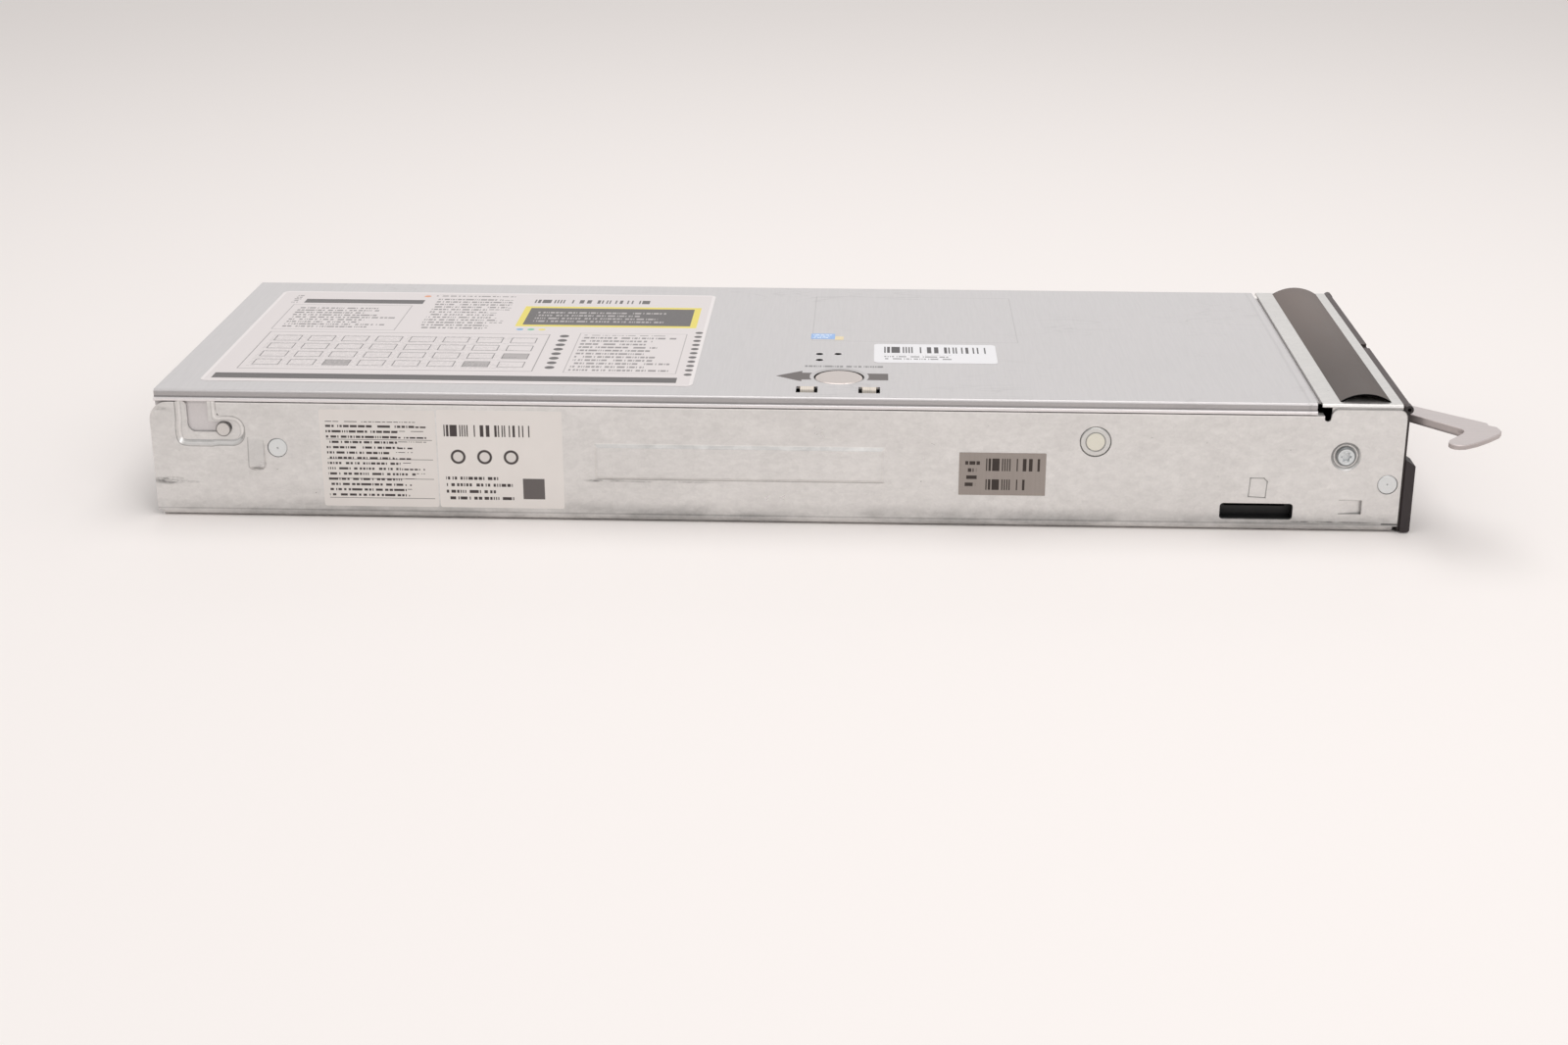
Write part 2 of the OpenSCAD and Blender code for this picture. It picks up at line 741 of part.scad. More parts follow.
// Perforated sheet behind the bezel's window
module vent_grille() color("gray") {
    pitch = 4.2;
    rows = floor((grille_z[1] - grille_z[0] - 1) / (pitch * 0.866));
    columns = floor((grille_y[1] - grille_y[0] - 3) / pitch);
    x = bezel_back - sheet_t;
    difference() {
        block([x, grille_y[0] + 0.1, grille_z[0] - 1.9], [x + sheet_t - 0.05, grille_y[1] - 0.1, grille_z[1] + 1.9]);
        for (row = [0:rows - 1]) for (column = [0:columns - 1])
            translate([x - 1, grille_y[0] + 2.9 + (column + 0.5 * (row % 2)) * pitch, grille_z[0] + 2 + row * pitch * 0.866])
                rotate([0, 90, 0]) rotate(30) cylinder(r = 1.9, h = sheet_t + 2, $fn = 6);
    }
}

// Block at the lower near corner, with the sleeve of the pull tab behind it
tab_y = [near + 4.4, near + 6];
module tab_housing() color("dimgray") {
    difference() {
        union() {
            translate([0, near + 9.6, 0])
                rotate([90, 0, 0])
                    linear_extrude(10.3)
                        polygon([[bezel_front + eps, 0.2], [carrier_front - 0.4, 0.2], [carrier_front, 0.8],
                            [carrier_front, 28.8], [bezel_front + 0.6, 31], [bezel_front + eps, 31]]);
            block([front - 40, tab_y[0] - 1.2, 3.6], [bezel_back - 0.1, tab_y[1] + 1.2, 26.4]);
            block([bezel_back - 0.1 - eps, near + 3.8, 4.4], [bezel_front + 2 * eps, near + 6.6, 25.6]);
        }
        block([front - 41, tab_y[0] - 0.2, 4.8], [carrier_front + 1, tab_y[1] + 0.2, 25.2]);
        block([carrier_front - 1.2, tab_y[0] - 1.2, 9], [carrier_front + 1, tab_y[1] + 1.2, 21]);
    }
}

module serial_pull_tab() color("lightslategray") {
    block([front - 38, tab_y[0], 5], [carrier_front - 0.4, tab_y[1], 25]);
    // Ridges for the fingertip
    for (z = [11:2:19]) block([carrier_front - 0.41, tab_y[0] + 0.2, z - 0.5], [carrier_front, tab_y[1] - 0.2, z + 0.5]);
}

module power_button() color("darkslategray") {
    translate([bezel_back, power_pos[0], power_pos[1]])
        rotate([0, 90, 0]) {
            rotate_extrude()
                polygon([[0, -1.3], [5.4, -1.3], [5.4, -0.2], [4.3, -0.2], [4.3, bezel_t], [3.9, bezel_t + 0.5],
                    [0, bezel_t + 0.3]]);
            translate([0, 0, -4.8]) cylinder(r = 1.6, h = 3.6);
        }
}

board_face = bezel_back - 9;
module front_button_board() color("darkgreen") {
    block([board_face - 1.6, near + 64, board_top + 0.1], [board_face, near + 94, 40.5]);
    // Key switch behind the power button
    block([board_face, power_pos[0] - 3, power_pos[1] - 3], [board_face + 3, power_pos[0] + 3, power_pos[1] + 3]);
    for (y = led_y) block([board_face, y - 1.2, led_z - 1.2], [board_face + 0.9, y + 1.2, led_z + 1.2]);
}

module light_pipes() color("lightcyan") {
    for (y = led_y) {
        rod_x([board_face + 1.1, y, led_z], 1.2, bezel_front - board_face - 1.1 + 0.2);
    }
    block([board_face + 1.5, led_y[0] - 1.6, led_z + 0.8], [board_face + 3.5, led_y[4] + 1.6, led_z + 2.4]);
}

module front_port_connector() color("black") {
    x0 = bezel_back - 12;
    difference() {
        block([x0, port_y[0], port_z[0]], [bezel_front - 0.3, port_y[1], port_z[1]]);
        block([x0 + 3, port_y[0] + 1.6, port_z[0] + 1.5], [bezel_front + 1, port_y[1] - 1.6, port_z[1] - 1.5]);
    }
    // Contact tongue at the bottom of the socket
    block([x0 + 3 - eps, port_y[0] + 3, port_z[0] + 4.1], [x0 + 5, port_y[1] - 3, port_z[0] + 5.4]);
}

// ---- Ejector lever ----

// The closed lever, with its pivot at the origin and its arm along +Y
module closed_lever() {
    back = -4.4;
    tip = lever_l;
    end = back + hook_l;
    arm = [[arm_w + back, 0], [arm_w + back, 0.3 * tip], [arm_w + back + 1.7, 0.55 * tip],
        [arm_w + back + 2.8, tip - 16]];
    difference() {
        union() {
            cylinder(r = arm_w / 2 + 1.6, h = lever_t);
            // The finger hook is a thin plate, the arm under it is thicker
            translate([0, 0, lever_t - hook_t])
                linear_extrude(hook_t)
                    polygon(concat(arm, [[arm_w + back + 3.4, tip - 13.6], [11.2, tip - 12], [14.4, tip - 10.9],
                        [end - 4.2, tip - 10.4], [end - 1.6, tip - 9.2], [end - 0.3, tip - 7.6], [end, tip - 5.8],
                        [end - 1, tip - 4], [end - 3, tip - 2.4], [21.3, tip - 0.8], [13, tip], [5, tip],
                        [1.4, tip - 1], [0, tip - 2.4], [back + 2, tip - 5], [back + 2.4, tip - 8.5],
                        [back, tip - 10.5], [back, 0]]));
            linear_extrude(lever_t)
                polygon(concat(arm, [[8, tip - 12.6], [back + 1.4, tip - 11.4], [back, tip - 13], [back, 0]]));
            // Cam nose that works against the enclosure
            linear_extrude(lever_t) polygon([[-2, -5], [-9.5, -3.5], [-10.5, 1], [-4, 4]]);
        }
        translate([0, 0, -1]) cylinder(r = lever_pin_d / 2 + run_gap, h = lever_t + 2);
    }
}

module ejector_lever() color("gainsboro") {
    translate([pivot[0], pivot[1], lever_z])
        rotate(-lever_swing)
            closed_lever();
}

arm_gap = 0.4;
module lever_bracket() color("silver") {
    x0 = pivot[0] - 19;
    low = lever_z - arm_gap - 1.5;
    high = lever_z + lever_t + arm_gap;
    difference() {
        union() {
            // Upper arm, lower arm, web and the foot riveted under the front plate
            for (z = [low, high]) {
                block([x0, pivot[1] - 8, z], [pivot[0] - 4, pivot[1] + 8, z + 1.5]);
                rod_z([pivot[0] - 3, pivot[1], z], 6.6, 1.5);
            }
            block([x0, pivot[1] - 8, low], [x0 + 1.5, pivot[1] + 8, hood_under]);
            block([x0, pivot[1] - 8, hood_under - 1.5], [x0 + 10, pivot[1] + 8, hood_under]);
        }
        rod_z([pivot[0], pivot[1], low - 1], lever_pin_d / 2 + run_gap, 12);
    }
}

module lever_pivot_pin() color("lightgray") {
    low = lever_z - arm_gap - 1.5;
    high = lever_z + lever_t + arm_gap + 1.5;
    rod_z([pivot[0], pivot[1], low - 0.7], lever_pin_d / 2, high - low + 1);
    rod_z([pivot[0], pivot[1], low - 0.8], lever_pin_d / 2 + 1.3, 0.75);
}

module lever_release_button() color("slategray") {
    y0 = button_y + slide_gap;
    z0 = button_z + slide_gap;
    w = 10.6 - 2 * slide_gap;
    h = 9.6 - 2 * slide_gap;
    difference() {
        block([bezel_back, y0, z0], [bezel_front + 1.4, y0 + w, z0 + h]);
        for (i = [0:2]) block([bezel_front + 1, y0 + 1.4 + i * 2.6, z0 + 1.4], [bezel_front + 2, y0 + 2.8 + i * 2.6, z0 + h - 1.4]);
    }
    // Stop flange and the hook that reaches towards the lever's tip
    block([bezel_back - 2, y0 - 1, z0 - 0.8], [bezel_back - 0.2, y0 + w + 1, z0 + h - 1.4]);
    block([bezel_back - 0.2 - eps, y0 + 0.4, z0 + 0.4], [bezel_back + eps, y0 + w - 0.4, z0 + h - 1.4]);
    block([bezel_back - 6, pivot[1] + lever_l + slide_gap, lever_z], [bezel_back - 2 + eps, y0 + 1.5, lever_z + lever_t]);
}

// ---- Drives ----

module drive_cage() color("silver") {
    x0 = cage_x[0];
    x1 = cage_x[1];
    difference() {
        union() {
            // Two side plates, with three shelves fitted between them
            for (y = [cage_y[0], cage_y[1] - sheet_t])
                block([x0, y, sheet_t], [x1, y + sheet_t, cage_top]);
            for (z = [bay_floor[0] - sheet_t, bay_floor[1] - sheet_t, cage_top - sheet_t])
                block([x0, cage_y[0] + sheet_t + run_gap, z], [x1, cage_y[1] - sheet_t - run_gap, z + sheet_t]);
            // Feet folded out along the floor
            block([x0, cage_y[0] - 7, sheet_t], [x1 - 30, cage_y[0] + eps, 2 * sheet_t]);
        }
        // Cooling slots in the shelves and the near wall
        for (i = [0:6])
            block([x0 + 12 + i * 14, cage_y[0] + 14, bay_floor[0] - 2], [x0 + 20 + i * 14, cage_y[1] - 14, cage_top + 1]);
        for (i = [0:4])
            translate([x0 + 18 + i * 18, cage_y[0] - 1, bay_floor[0] + 7])
                block([0, 0, 0], [10, sheet_t + 2, 7]);
    }
}

module drive_backplane() color("darkgreen") {
    x = cage_x[0] - 1.8;
    difference() {
        block([x, cage_y[0] + 1.5, bay_floor[0] - 2], [x + 1.6, cage_y[1] - 1.5, cage_top - 0.2]);
        for (z = bay_floor)
            for (y = [cage_y[0] + 12, cage_y[1] - 18])
                block([x - 1, y, z + 6], [x + 3, y + 6, z + 14]);
    }
}

module backplane_connectors() color("black") {
    x = cage_x[0] - 0.2;
    for (z = bay_floor) {
        difference() {
            block([x, cage_y[0] + 26, z + 4.6], [carrier_rear - 0.6, cage_y[0] + 62, z + 10.8]);
            block([carrier_rear - 3.6, cage_y[0] + 27.2, z + 6.4], [carrier_rear, cage_y[0] + 60.8, z + 8.8]);
        }
    }
}

// Tray with two side rails, a cross strip and a front frame; z is the bay's floor
module carrier(z) {
    y0 = carrier_y;
    y1 = carrier_y + carrier_w;
    z0 = z + 0.2;
    z1 = z0 + carrier_h;
    face = carrier_front;
    difference() {
        union() {
            for (y = [y0, y1 - 2.4]) block([carrier_rear, y, z0 + 1], [face - 11, y + 2.4, z0 + 12]);
            for (x = [carrier_rear + 18, carrier_rear + 70]) block([x, y0, z0], [x + 14, y1, z0 + 1.2]);
            block([face - 12, y0, z0], [face, y1, z1]);
            block([face - 14, y0, z0 + 1], [face - 12, y0 + 4, z0 + 12]);
        }
        // Recess that takes the handle, and the button's pocket
        block([face - 6.2, y0 + 19.6, z0 + 1.6], [face + 1, y1 + 1, z1 - 1.6]);
        block([face - 9, y0 + 6, z0 + 3.4], [face + 1, y0 + 18, z1 - 3.4]);
        // Air slots through the front
        for (i = [0:5])
            block([face - 13, y0 + 26 + i * 7, z0 + 4], [face - 5, y0 + 31 + i * 7, z1 - 4]);
        rod_z([handle_pin[0], handle_pin[1], z0 - 1], 1.25, carrier_h + 2);
    }
}
module drive_carrier_1() color("dimgray") carrier(bay_floor[0]);
module drive_carrier_2() color("dimgray") carrier(bay_floor[1]);

module disk_drive(z) {
    x0 = carrier_rear + 2;
    x1 = x0 + 94;
    y0 = carrier_y + 2.6;
    y1 = carrier_y + carrier_w - 2.6;
    z0 = z + 1.6;
    difference() {
        union() {
            block([x0, y0, z0], [x1, y1, z0 + drive_t - 1.2]);
            translate([(x0 + x1) / 2, (y0 + y1) / 2, z0])
                linear_extrude(drive_t)
                    rounded_square([-44, -32], [44, 32], 5);
        }
        translate([x0 + 34, (y0 + y1) / 2, z0 + drive_t - 0.4]) cylinder(r = 26, h = 1);
        block([x0 - 1, y0 + 18, z0 - 1], [x0 + 3, y1 - 18, z0 + 6]);
    }
    translate([x0 + 34, (y0 + y1) / 2, z0 + drive_t - 1]) cylinder(r = 9, h = 0.8);
}
module disk_drive_1() color("lightgray") disk_drive(bay_floor[0]);
module disk_drive_2() color("lightgray") disk_drive(bay_floor[1]);

// Swing handle on a carrier's front, hinged at its far end
module carrier_handle(z) {
    z0 = z + 0.2 + 1.6 + slide_gap;
    h = carrier_h - 3.2 - 2 * slide_gap;
    y0 = carrier_y + 20;
    difference() {
        union() {
            block([carrier_front - 2.6, y0, z0], [carrier_front, handle_pin[1], z0 + h]);
            rod_z([handle_pin[0], handle_pin[1], z0], 2.6, h);
            // Turned-in lip at the free end
            block([carrier_front - 4.2, y0, z0 + 2], [carrier_front - 2.5, y0 + 1.6, z0 + h - 2]);
        }
        rod_z([handle_pin[0], handle_pin[1], z0 - 1], 1.2 + run_gap, h + 2);
        for (i = [0:4])
            block([carrier_front - 3, y0 + 8 + i * 7, z0 + 3], [carrier_front + 1, y0 + 12.5 + i * 7, z0 + h - 3]);
    }
}
module carrier_handle_1() color("gray") carrier_handle(bay_floor[0]);
module carrier_handle_2() color("gray") carrier_handle(bay_floor[1]);

module handle_pin_at(z) rod_z([handle_pin[0], handle_pin[1], z + 0.3], 1.2, carrier_h - 0.2);
module handle_pin_1() color("silver") handle_pin_at(bay_floor[0]);
module handle_pin_2() color("silver") handle_pin_at(bay_floor[1]);

module carrier_button(z) {
    z0 = z + 0.2 + 3.4 + slide_gap;
    h = carrier_h - 6.8 - 2 * slide_gap;
    y0 = carrier_y + 6 + slide_gap;
    w = 12 - 2 * slide_gap;
    difference() {
        block([carrier_front - 6.4, y0, z0], [carrier_front - 0.2, y0 + w, z0 + h]);
        rod_x([carrier_front - 1, y0 + w / 2, z0 + h / 2], 3.4, 2);
    }
}
module carrier_button_1() color("maroon") carrier_button(bay_floor[0]);
module carrier_button_2() color("maroon") carrier_button(bay_floor[1]);

// ---- System board and what it carries ----

ext_far = cage_y[0] - 8.5;
ext_front = bezel_back - 9.5;
standoff_places = [
    [board_rear + 12, near + 12], [board_rear + 12, far - 12], [rear + 112, near + 12],
    [rear + 118, near + 112], [board_front - 152, near + 70], [board_front - 12, near + 68],
    [board_front - 12, far - 10], [board_front - 110, far - 8], [middle_x + 20, near + 70],
    [ext_front - 6, near + 90]];

module system_board() color("darkgreen") {
    difference() {
        translate([0, 0, board_z])
            linear_extrude(board_t)
                difference() {
                    union() {
                        translate([board_rear, near + 3.6])
                            square([board_front - board_rear, blade_w - 7.2]);
                        translate([board_front - 1, near + 3.6])
                            square([front - 42 - board_front + 1, ext_far - near - 3.6]);
                        translate([front - 43, near + 9.4])
                            square([ext_front - front + 43, ext_far - near - 9.4]);
                    }
                    round_off([board_rear, near + 3.6], 3, 0);
                    round_off([board_rear, far - 3.6], 3, 270);
                    translate([front - 74, near]) square([32.2, 9.3]);
                }
        for (p = standoff_places) rod_z([p[0], p[1], board_z - 1], 1.7, board_t + 2);
    }
}

module board_standoffs() color("gainsboro") {
    for (p = standoff_places)
        translate([p[0], p[1], 0])
            difference() {
                union() {
                    translate([0, 0, 0.05]) cylinder(r = 2.4, h = sheet_t);
                    translate([0, 0, sheet_t]) cylinder(r = 3.2, h = board_lift);
                }
                translate([0, 0, sheet_t + 1.5]) cylinder(r = 1.4 + run_gap, h = board_lift);
            }
}

module board_screws() color("silver") {
    for (p = standoff_places)
        translate([p[0], p[1], board_top])
            difference() {
                union() {
                    rotate_extrude() polygon([[0, 0], [3, 0], [3, 0.9], [2.2, 1.7], [0, 1.9]]);
                    translate([0, 0, -board_t - 3]) cylinder(r = 1.4, h = board_t + 3.1);
                }
                translate([0, 0, 0.8]) cylinder(r = 1.1, h = 2, $fn = 6);
            }
}

module processor_sockets() color("darkgray") {
    for (i = [0, 1])
        translate([cpu_x[i], cpu_y[i], board_top])
            difference() {
                linear_extrude(4) rounded_square([-27, -27], [27, 27], 2);
                translate([-22.6, -22.6, 1.4]) cube([45.2, 45.2, 4]);
                for (sx = [-1, 1]) translate([sx * 12, 0, 2.4]) cube([8, 60, 4], center = true);
            }
}

module processors() color("silver") {
    for (i = [0, 1])
        translate([cpu_x[i], cpu_y[i], board_top + 1.4]) {
            translate([-22.5, -21.5, 0]) cube([45, 43, 1.6]);
            translate([0, 0, 1.6]) linear_extrude(lid_h - 3.2) rounded_square([-18, -17], [18, 17], 2);
        }
}

sink_base = board_top + 1.4 + lid_h - 1.6;
module heat_sink(i) {
    fins = floor((sink_w - 3) / fin_pitch);
    translate([cpu_x[i], cpu_y[i], sink_base]) {
        difference() {
            union() {
                translate([-sink_l / 2, -sink_w / 2, 0]) cube([sink_l, sink_w, 3.2]);
                for (k = [0:fins])
                    translate([-sink_l / 2, -fins * fin_pitch / 2 + k * fin_pitch - 0.3, 3.2 - eps])
                        cube([sink_l, 0.6, sink_top - sink_base - 3.2]);
            }
            // Corner cuts over the spring screws
            for (sx = [-1, 1]) for (sy = [-1, 1])
                translate([sx * 38, sy * 40, 3.2]) cylinder(r = 5.5, h = 40);
            for (sx = [-1, 1]) for (sy = [-1, 1])
                translate([sx * 38, sy * 40, -1]) cylinder(r = 2.4, h = 6);
        }
    }
}
module heat_sink_1() color("silver") heat_sink(0);
module heat_sink_2() color("silver") heat_sink(1);

module heat_sink_screws() color("gainsboro") {
    for (i = [0, 1]) for (sx = [-1, 1]) for (sy = [-1, 1])
        translate([cpu_x[i] + sx * 38, cpu_y[i] + sy * 40, board_top])
            difference() {
                union() {
                    cylinder(r = 2, h = sink_base + 9 - board_top);
                    translate([0, 0, sink_base + 3.4 - board_top]) cylinder(r = 3.4, h = 6);
                }
                translate([0, 0, sink_base + 8 - board_top]) cylinder(r = 1.6, h = 3, $fn = 6);
            }
}

function bank_y(bank, k) = bank == 0 ? near + 12 + k * socket_pitch : far - 12 - k * socket_pitch;

// Long socket with a latch standing at each end
module memory_socket(x, y) {
    translate([x, y, board_top]) {
        difference() {
            translate([4, -3.2, 0]) cube([socket_l - 8, 6.4, 8]);
            translate([(socket_l - module_l) / 2 - 0.3, -0.75, 2.5]) cube([module_l + 0.6, 1.5, 6]);
        }
        for (side = [0, 1])
            translate([side * socket_l, 0, 0])
                mirror([side, 0, 0])
                    rotate([90, 0, 0])
                        translate([0, 0, -2.4])
                            linear_extrude(4.8)
                                polygon([[0.8, 0], [4.2, 0], [4.2, 12], [3, 17], [1, 20], [-0.4, 20], [0.4, 16]]);
    }
}

module memory_sockets() color("ivory") {
    for (bank = [0, 1]) for (k = [0:bank_sockets - 1])
        memory_socket(bank_x[bank], bank_y(bank, k));
}

module memory_modules() color("darkgreen") {
    for (bank = [0, 1]) for (k = [1:2:bank_sockets - 1])
        translate([bank_x[bank] + (socket_l - module_l) / 2, bank_y(bank, k), board_top + 2.8]) {
            difference() {
                translate([0, -0.65, 0]) cube([module_l, 1.3, 30]);
                translate([72, -2, -1]) cube([2, 4, 4.4]);
                for (x = [0, module_l]) translate([x, -2, 16]) rotate([-90, 0, 0]) cylinder(r = 1.6, h = 4);
            }
            for (side = [-1, 1]) for (c = [0:8])
                translate([8 + c * 13.4, side > 0 ? 0.65 - eps : -1.65, 12]) cube([10, 1 + eps, 12]);
        }
}

module chipset_heat_sink() color("silver") {
    translate([rear + 70, near + 98, board_top + 1]) {
        translate([-15, -15, -1]) cube([30, 30, 1.5]);
        translate([-18, -18, 0.4]) cube([36, 36, 2]);
        for (k = [0:8]) translate([-18, -17.5 + k * 4.2, 2.3]) cube([36, 1.4, 8]);
    }
}

module mezzanine_connectors() color("black") {
    for (p = [[rear + 30, near + 44], [rear + 30, far - 42]])
        translate([p[0], p[1], board_top])
            difference() {
                cube([60, 14, 10]);
                for (row = [0:3]) translate([2, 1.6 + row * 3.2, 6]) cube([56, 1.6, 5]);
            }
}

module controller_card() color("darkgreen") {
    x0 = middle_x + 30;
    y0 = near + 20;
    z0 = board_top + 8;
    difference() {
        block([x0, y0, z0], [x0 + 58, y0 + 66, z0 + 1.6]);
        for (x = [x0 + 4, x0 + 54]) rod_z([x, y0 + 62, z0 - 1], 1.6, 4);
    }
    block([x0 + 14, y0 + 8, z0 + 1.6 - eps], [x0 + 34, y0 + 28, z0 + 4]);
    for (k = [0:3]) block([x0 + 6 + k * 12.5, y0 + 38, z0 + 1.6 - eps], [x0 + 16 + k * 12.5, y0 + 50, z0 + 2.8]);
}

module controller_card_connector() color("black") {
    x0 = middle_x + 34;
    block([x0, near + 70, board_top], [x0 + 50, near + 76, board_top + 8]);
    for (x = [middle_x + 32.5, middle_x + 82.5])
        block([x, near + 22, board_top], [x + 3, near + 25, board_top + 8]);
}

module card_socket() color("black") {
    x0 = front - 73.6;
    difference() {
        union() {
            block([x0 + 2, near + 9, board_top], [x0 + 29.4, near + 36, board_top + 3.4]);
            // Mouth that fills the slot in the wall from behind
            block([x0, near + flange_in, board_top - 4], [x0 + 31.4, near + 9 + eps, board_top + 4.4]);
        }
        block([x0 + 3.2, near, board_top + 0.6], [x0 + 28.2, near + 35, board_top + 2.8]);
        block([x0 + 1, near, board_top - 3], [x0 + 30.4, near + 6, board_top + 3.4]);
    }
}

module internal_usb_socket() color("silver") {
    x0 = middle_x + 12;
    difference() {
        block([x0, near + 12, board_top], [x0 + 15, near + 25.6, board_top + 6.6]);
        block([x0 + 2, near + 12.7, board_top + 0.7], [x0 + 16, near + 24.9, board_top + 5.9]);
    }
    block([x0 + 1.9, near + 13.4, board_top + 3.6], [x0 + 12, near + 24.2, board_top + 5.4]);
}

coin_pos = [rear + 100, near + 30];
module coin_cell() color("silver") {
    rod_z([coin_pos[0], coin_pos[1], board_top + 1.6], 10, 3.2);
}
module coin_cell_holder() color("black") {
    difference() {
        rod_z([coin_pos[0], coin_pos[1], board_top], 12.5, 4.4);
        rod_z([coin_pos[0], coin_pos[1], board_top + 1.5], 10 + run_gap, 4);
        block([coin_pos[0] - 5, coin_pos[1] - 14, board_top + 1.5], [coin_pos[0] + 5, coin_pos[1] - 6, board_top + 6]);
    }
}

// Blind-mating connector: a block with rows of contact slots in its rear face
module rear_signal_connector() color("black") {
    x0 = rear + 0.8;
    y0 = near + 46;
    difference() {
        union() {
            block([x0 + 4, y0, board_top], [x0 + 22, y0 + 74, board_top + 24]);
            block([x0, y0 + 6, board_top + 2], [x0 + 4 + eps, y0 + 68, board_top + 22]);
        }
        for (row = [0:3]) for (column = [0:19])
            block([x0 - 1, y0 + 7.6 + column * 3, board_top + 4 + row * 4.6],
                [x0 + 8, y0 + 9 + column * 3, board_top + 6.6 + row * 4.6]);
    }
    // Guide posts beside the contacts
    for (y = [y0 + 3, y0 + 71]) rod_x([x0 + 1, y, board_top + 12], 2.2, 4);
}

module rear_power_connector() color("black") {
    x0 = rear + 0.8;
    y0 = far - 57;
    difference() {
        block([x0, y0, board_top], [x0 + 20, y0 + 36, board_top + 16]);
        for (k = [0:4])
            block([x0 - 1, y0 + 4 + k * 6.4, board_top + 3], [x0 + 12, y0 + 6.4 + k * 6.4, board_top + 13]);
    }
}

// Power stage coils in a row beside each processor
module inductors() color("gray") {
    for (i = [0, 1]) for (k = [0:4])
        translate([cpu_x[i] - 34 + k * 14, cpu_y[i] + (i == 0 ? 50 : -50), board_top])
            difference() {
                translate([-5, i == 0 ? -3.5 : -1, 0]) cube([10, 4.5, 5]);
                translate([-3, -6, 4.4]) cube([6, 12, 1]);
            }
}

base_pan();
hood();
bayonet_pins();
hood_release_button();
hood_latch_cup();
hood_button_spring();
hood_catch_bracket();
front_plate();
arched_gasket();
front_bezel();
vent_grille();
tab_housing();
serial_pull_tab();
power_button();
light_pipes();
front_button_board();
front_port_connector();
ejector_lever();
lever_bracket();
lever_pivot_pin();
lever_release_button();
wall_screws();
flush_rivets();
ring_studs();
rear_brace();
middle_brace();
drive_cage();
drive_backplane();
backplane_connectors();
drive_carrier_1();
drive_carrier_2();
disk_drive_1();
disk_drive_2();
carrier_handle_1();
carrier_handle_2();
carrier_button_1();
carrier_button_2();
handle_pin_1();
handle_pin_2();
system_board();
board_standoffs();
board_screws();
processor_sockets();
processors();
heat_sink_1();
heat_sink_2();
heat_sink_screws();
memory_sockets();
memory_modules();
chipset_heat_sink();
mezzanine_connectors();
controller_card();
controller_card_connector();
card_socket();
internal_usb_socket();
coin_cell();
coin_cell_holder();
rear_signal_connector();
rear_power_connector();
inductors();
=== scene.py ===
import json
from math import cos, pi, radians, sin

import bmesh
import bpy
from mathutils import Matrix, Vector


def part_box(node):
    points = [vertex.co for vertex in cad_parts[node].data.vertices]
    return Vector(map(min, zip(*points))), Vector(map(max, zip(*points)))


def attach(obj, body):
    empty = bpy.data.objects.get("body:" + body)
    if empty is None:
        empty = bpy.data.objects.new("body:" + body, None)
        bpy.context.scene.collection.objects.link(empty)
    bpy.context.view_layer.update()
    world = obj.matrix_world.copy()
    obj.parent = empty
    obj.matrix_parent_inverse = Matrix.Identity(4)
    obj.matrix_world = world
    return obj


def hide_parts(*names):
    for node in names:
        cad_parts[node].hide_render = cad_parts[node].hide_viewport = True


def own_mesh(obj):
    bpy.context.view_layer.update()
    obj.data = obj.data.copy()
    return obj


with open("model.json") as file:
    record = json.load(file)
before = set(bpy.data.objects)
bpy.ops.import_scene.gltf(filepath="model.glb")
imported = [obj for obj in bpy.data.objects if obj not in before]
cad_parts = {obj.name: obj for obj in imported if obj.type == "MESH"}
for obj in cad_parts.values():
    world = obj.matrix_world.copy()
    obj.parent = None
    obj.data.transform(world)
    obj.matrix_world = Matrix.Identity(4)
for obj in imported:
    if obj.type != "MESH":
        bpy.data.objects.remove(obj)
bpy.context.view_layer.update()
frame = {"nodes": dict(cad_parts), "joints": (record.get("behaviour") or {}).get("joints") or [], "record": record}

MM = 0.001
body_of_node = {n: b for b, members in frame["record"]["behaviour"]["bodies"].items() for n in members}
places = {m["name"]: m["pos_m"] for m in frame["record"]["mounts"]}

# Faces of the blade that the labels and prints are laid out from
rear_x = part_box("system_board")[0].x - 5 * MM
front_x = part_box("front_plate")[1].x + 1.7 * MM
tab_start_x = front_x - 33 * MM
wall_y = places["near_edge_slide"][1]
hood_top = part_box("front_plate")[1].z
button_lo, button_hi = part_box("hood_release_button")
button_x = (button_lo.x + button_hi.x) / 2
button_y = (button_lo.y + button_hi.y) / 2


# ---------------------------------------------------------------- shader tools

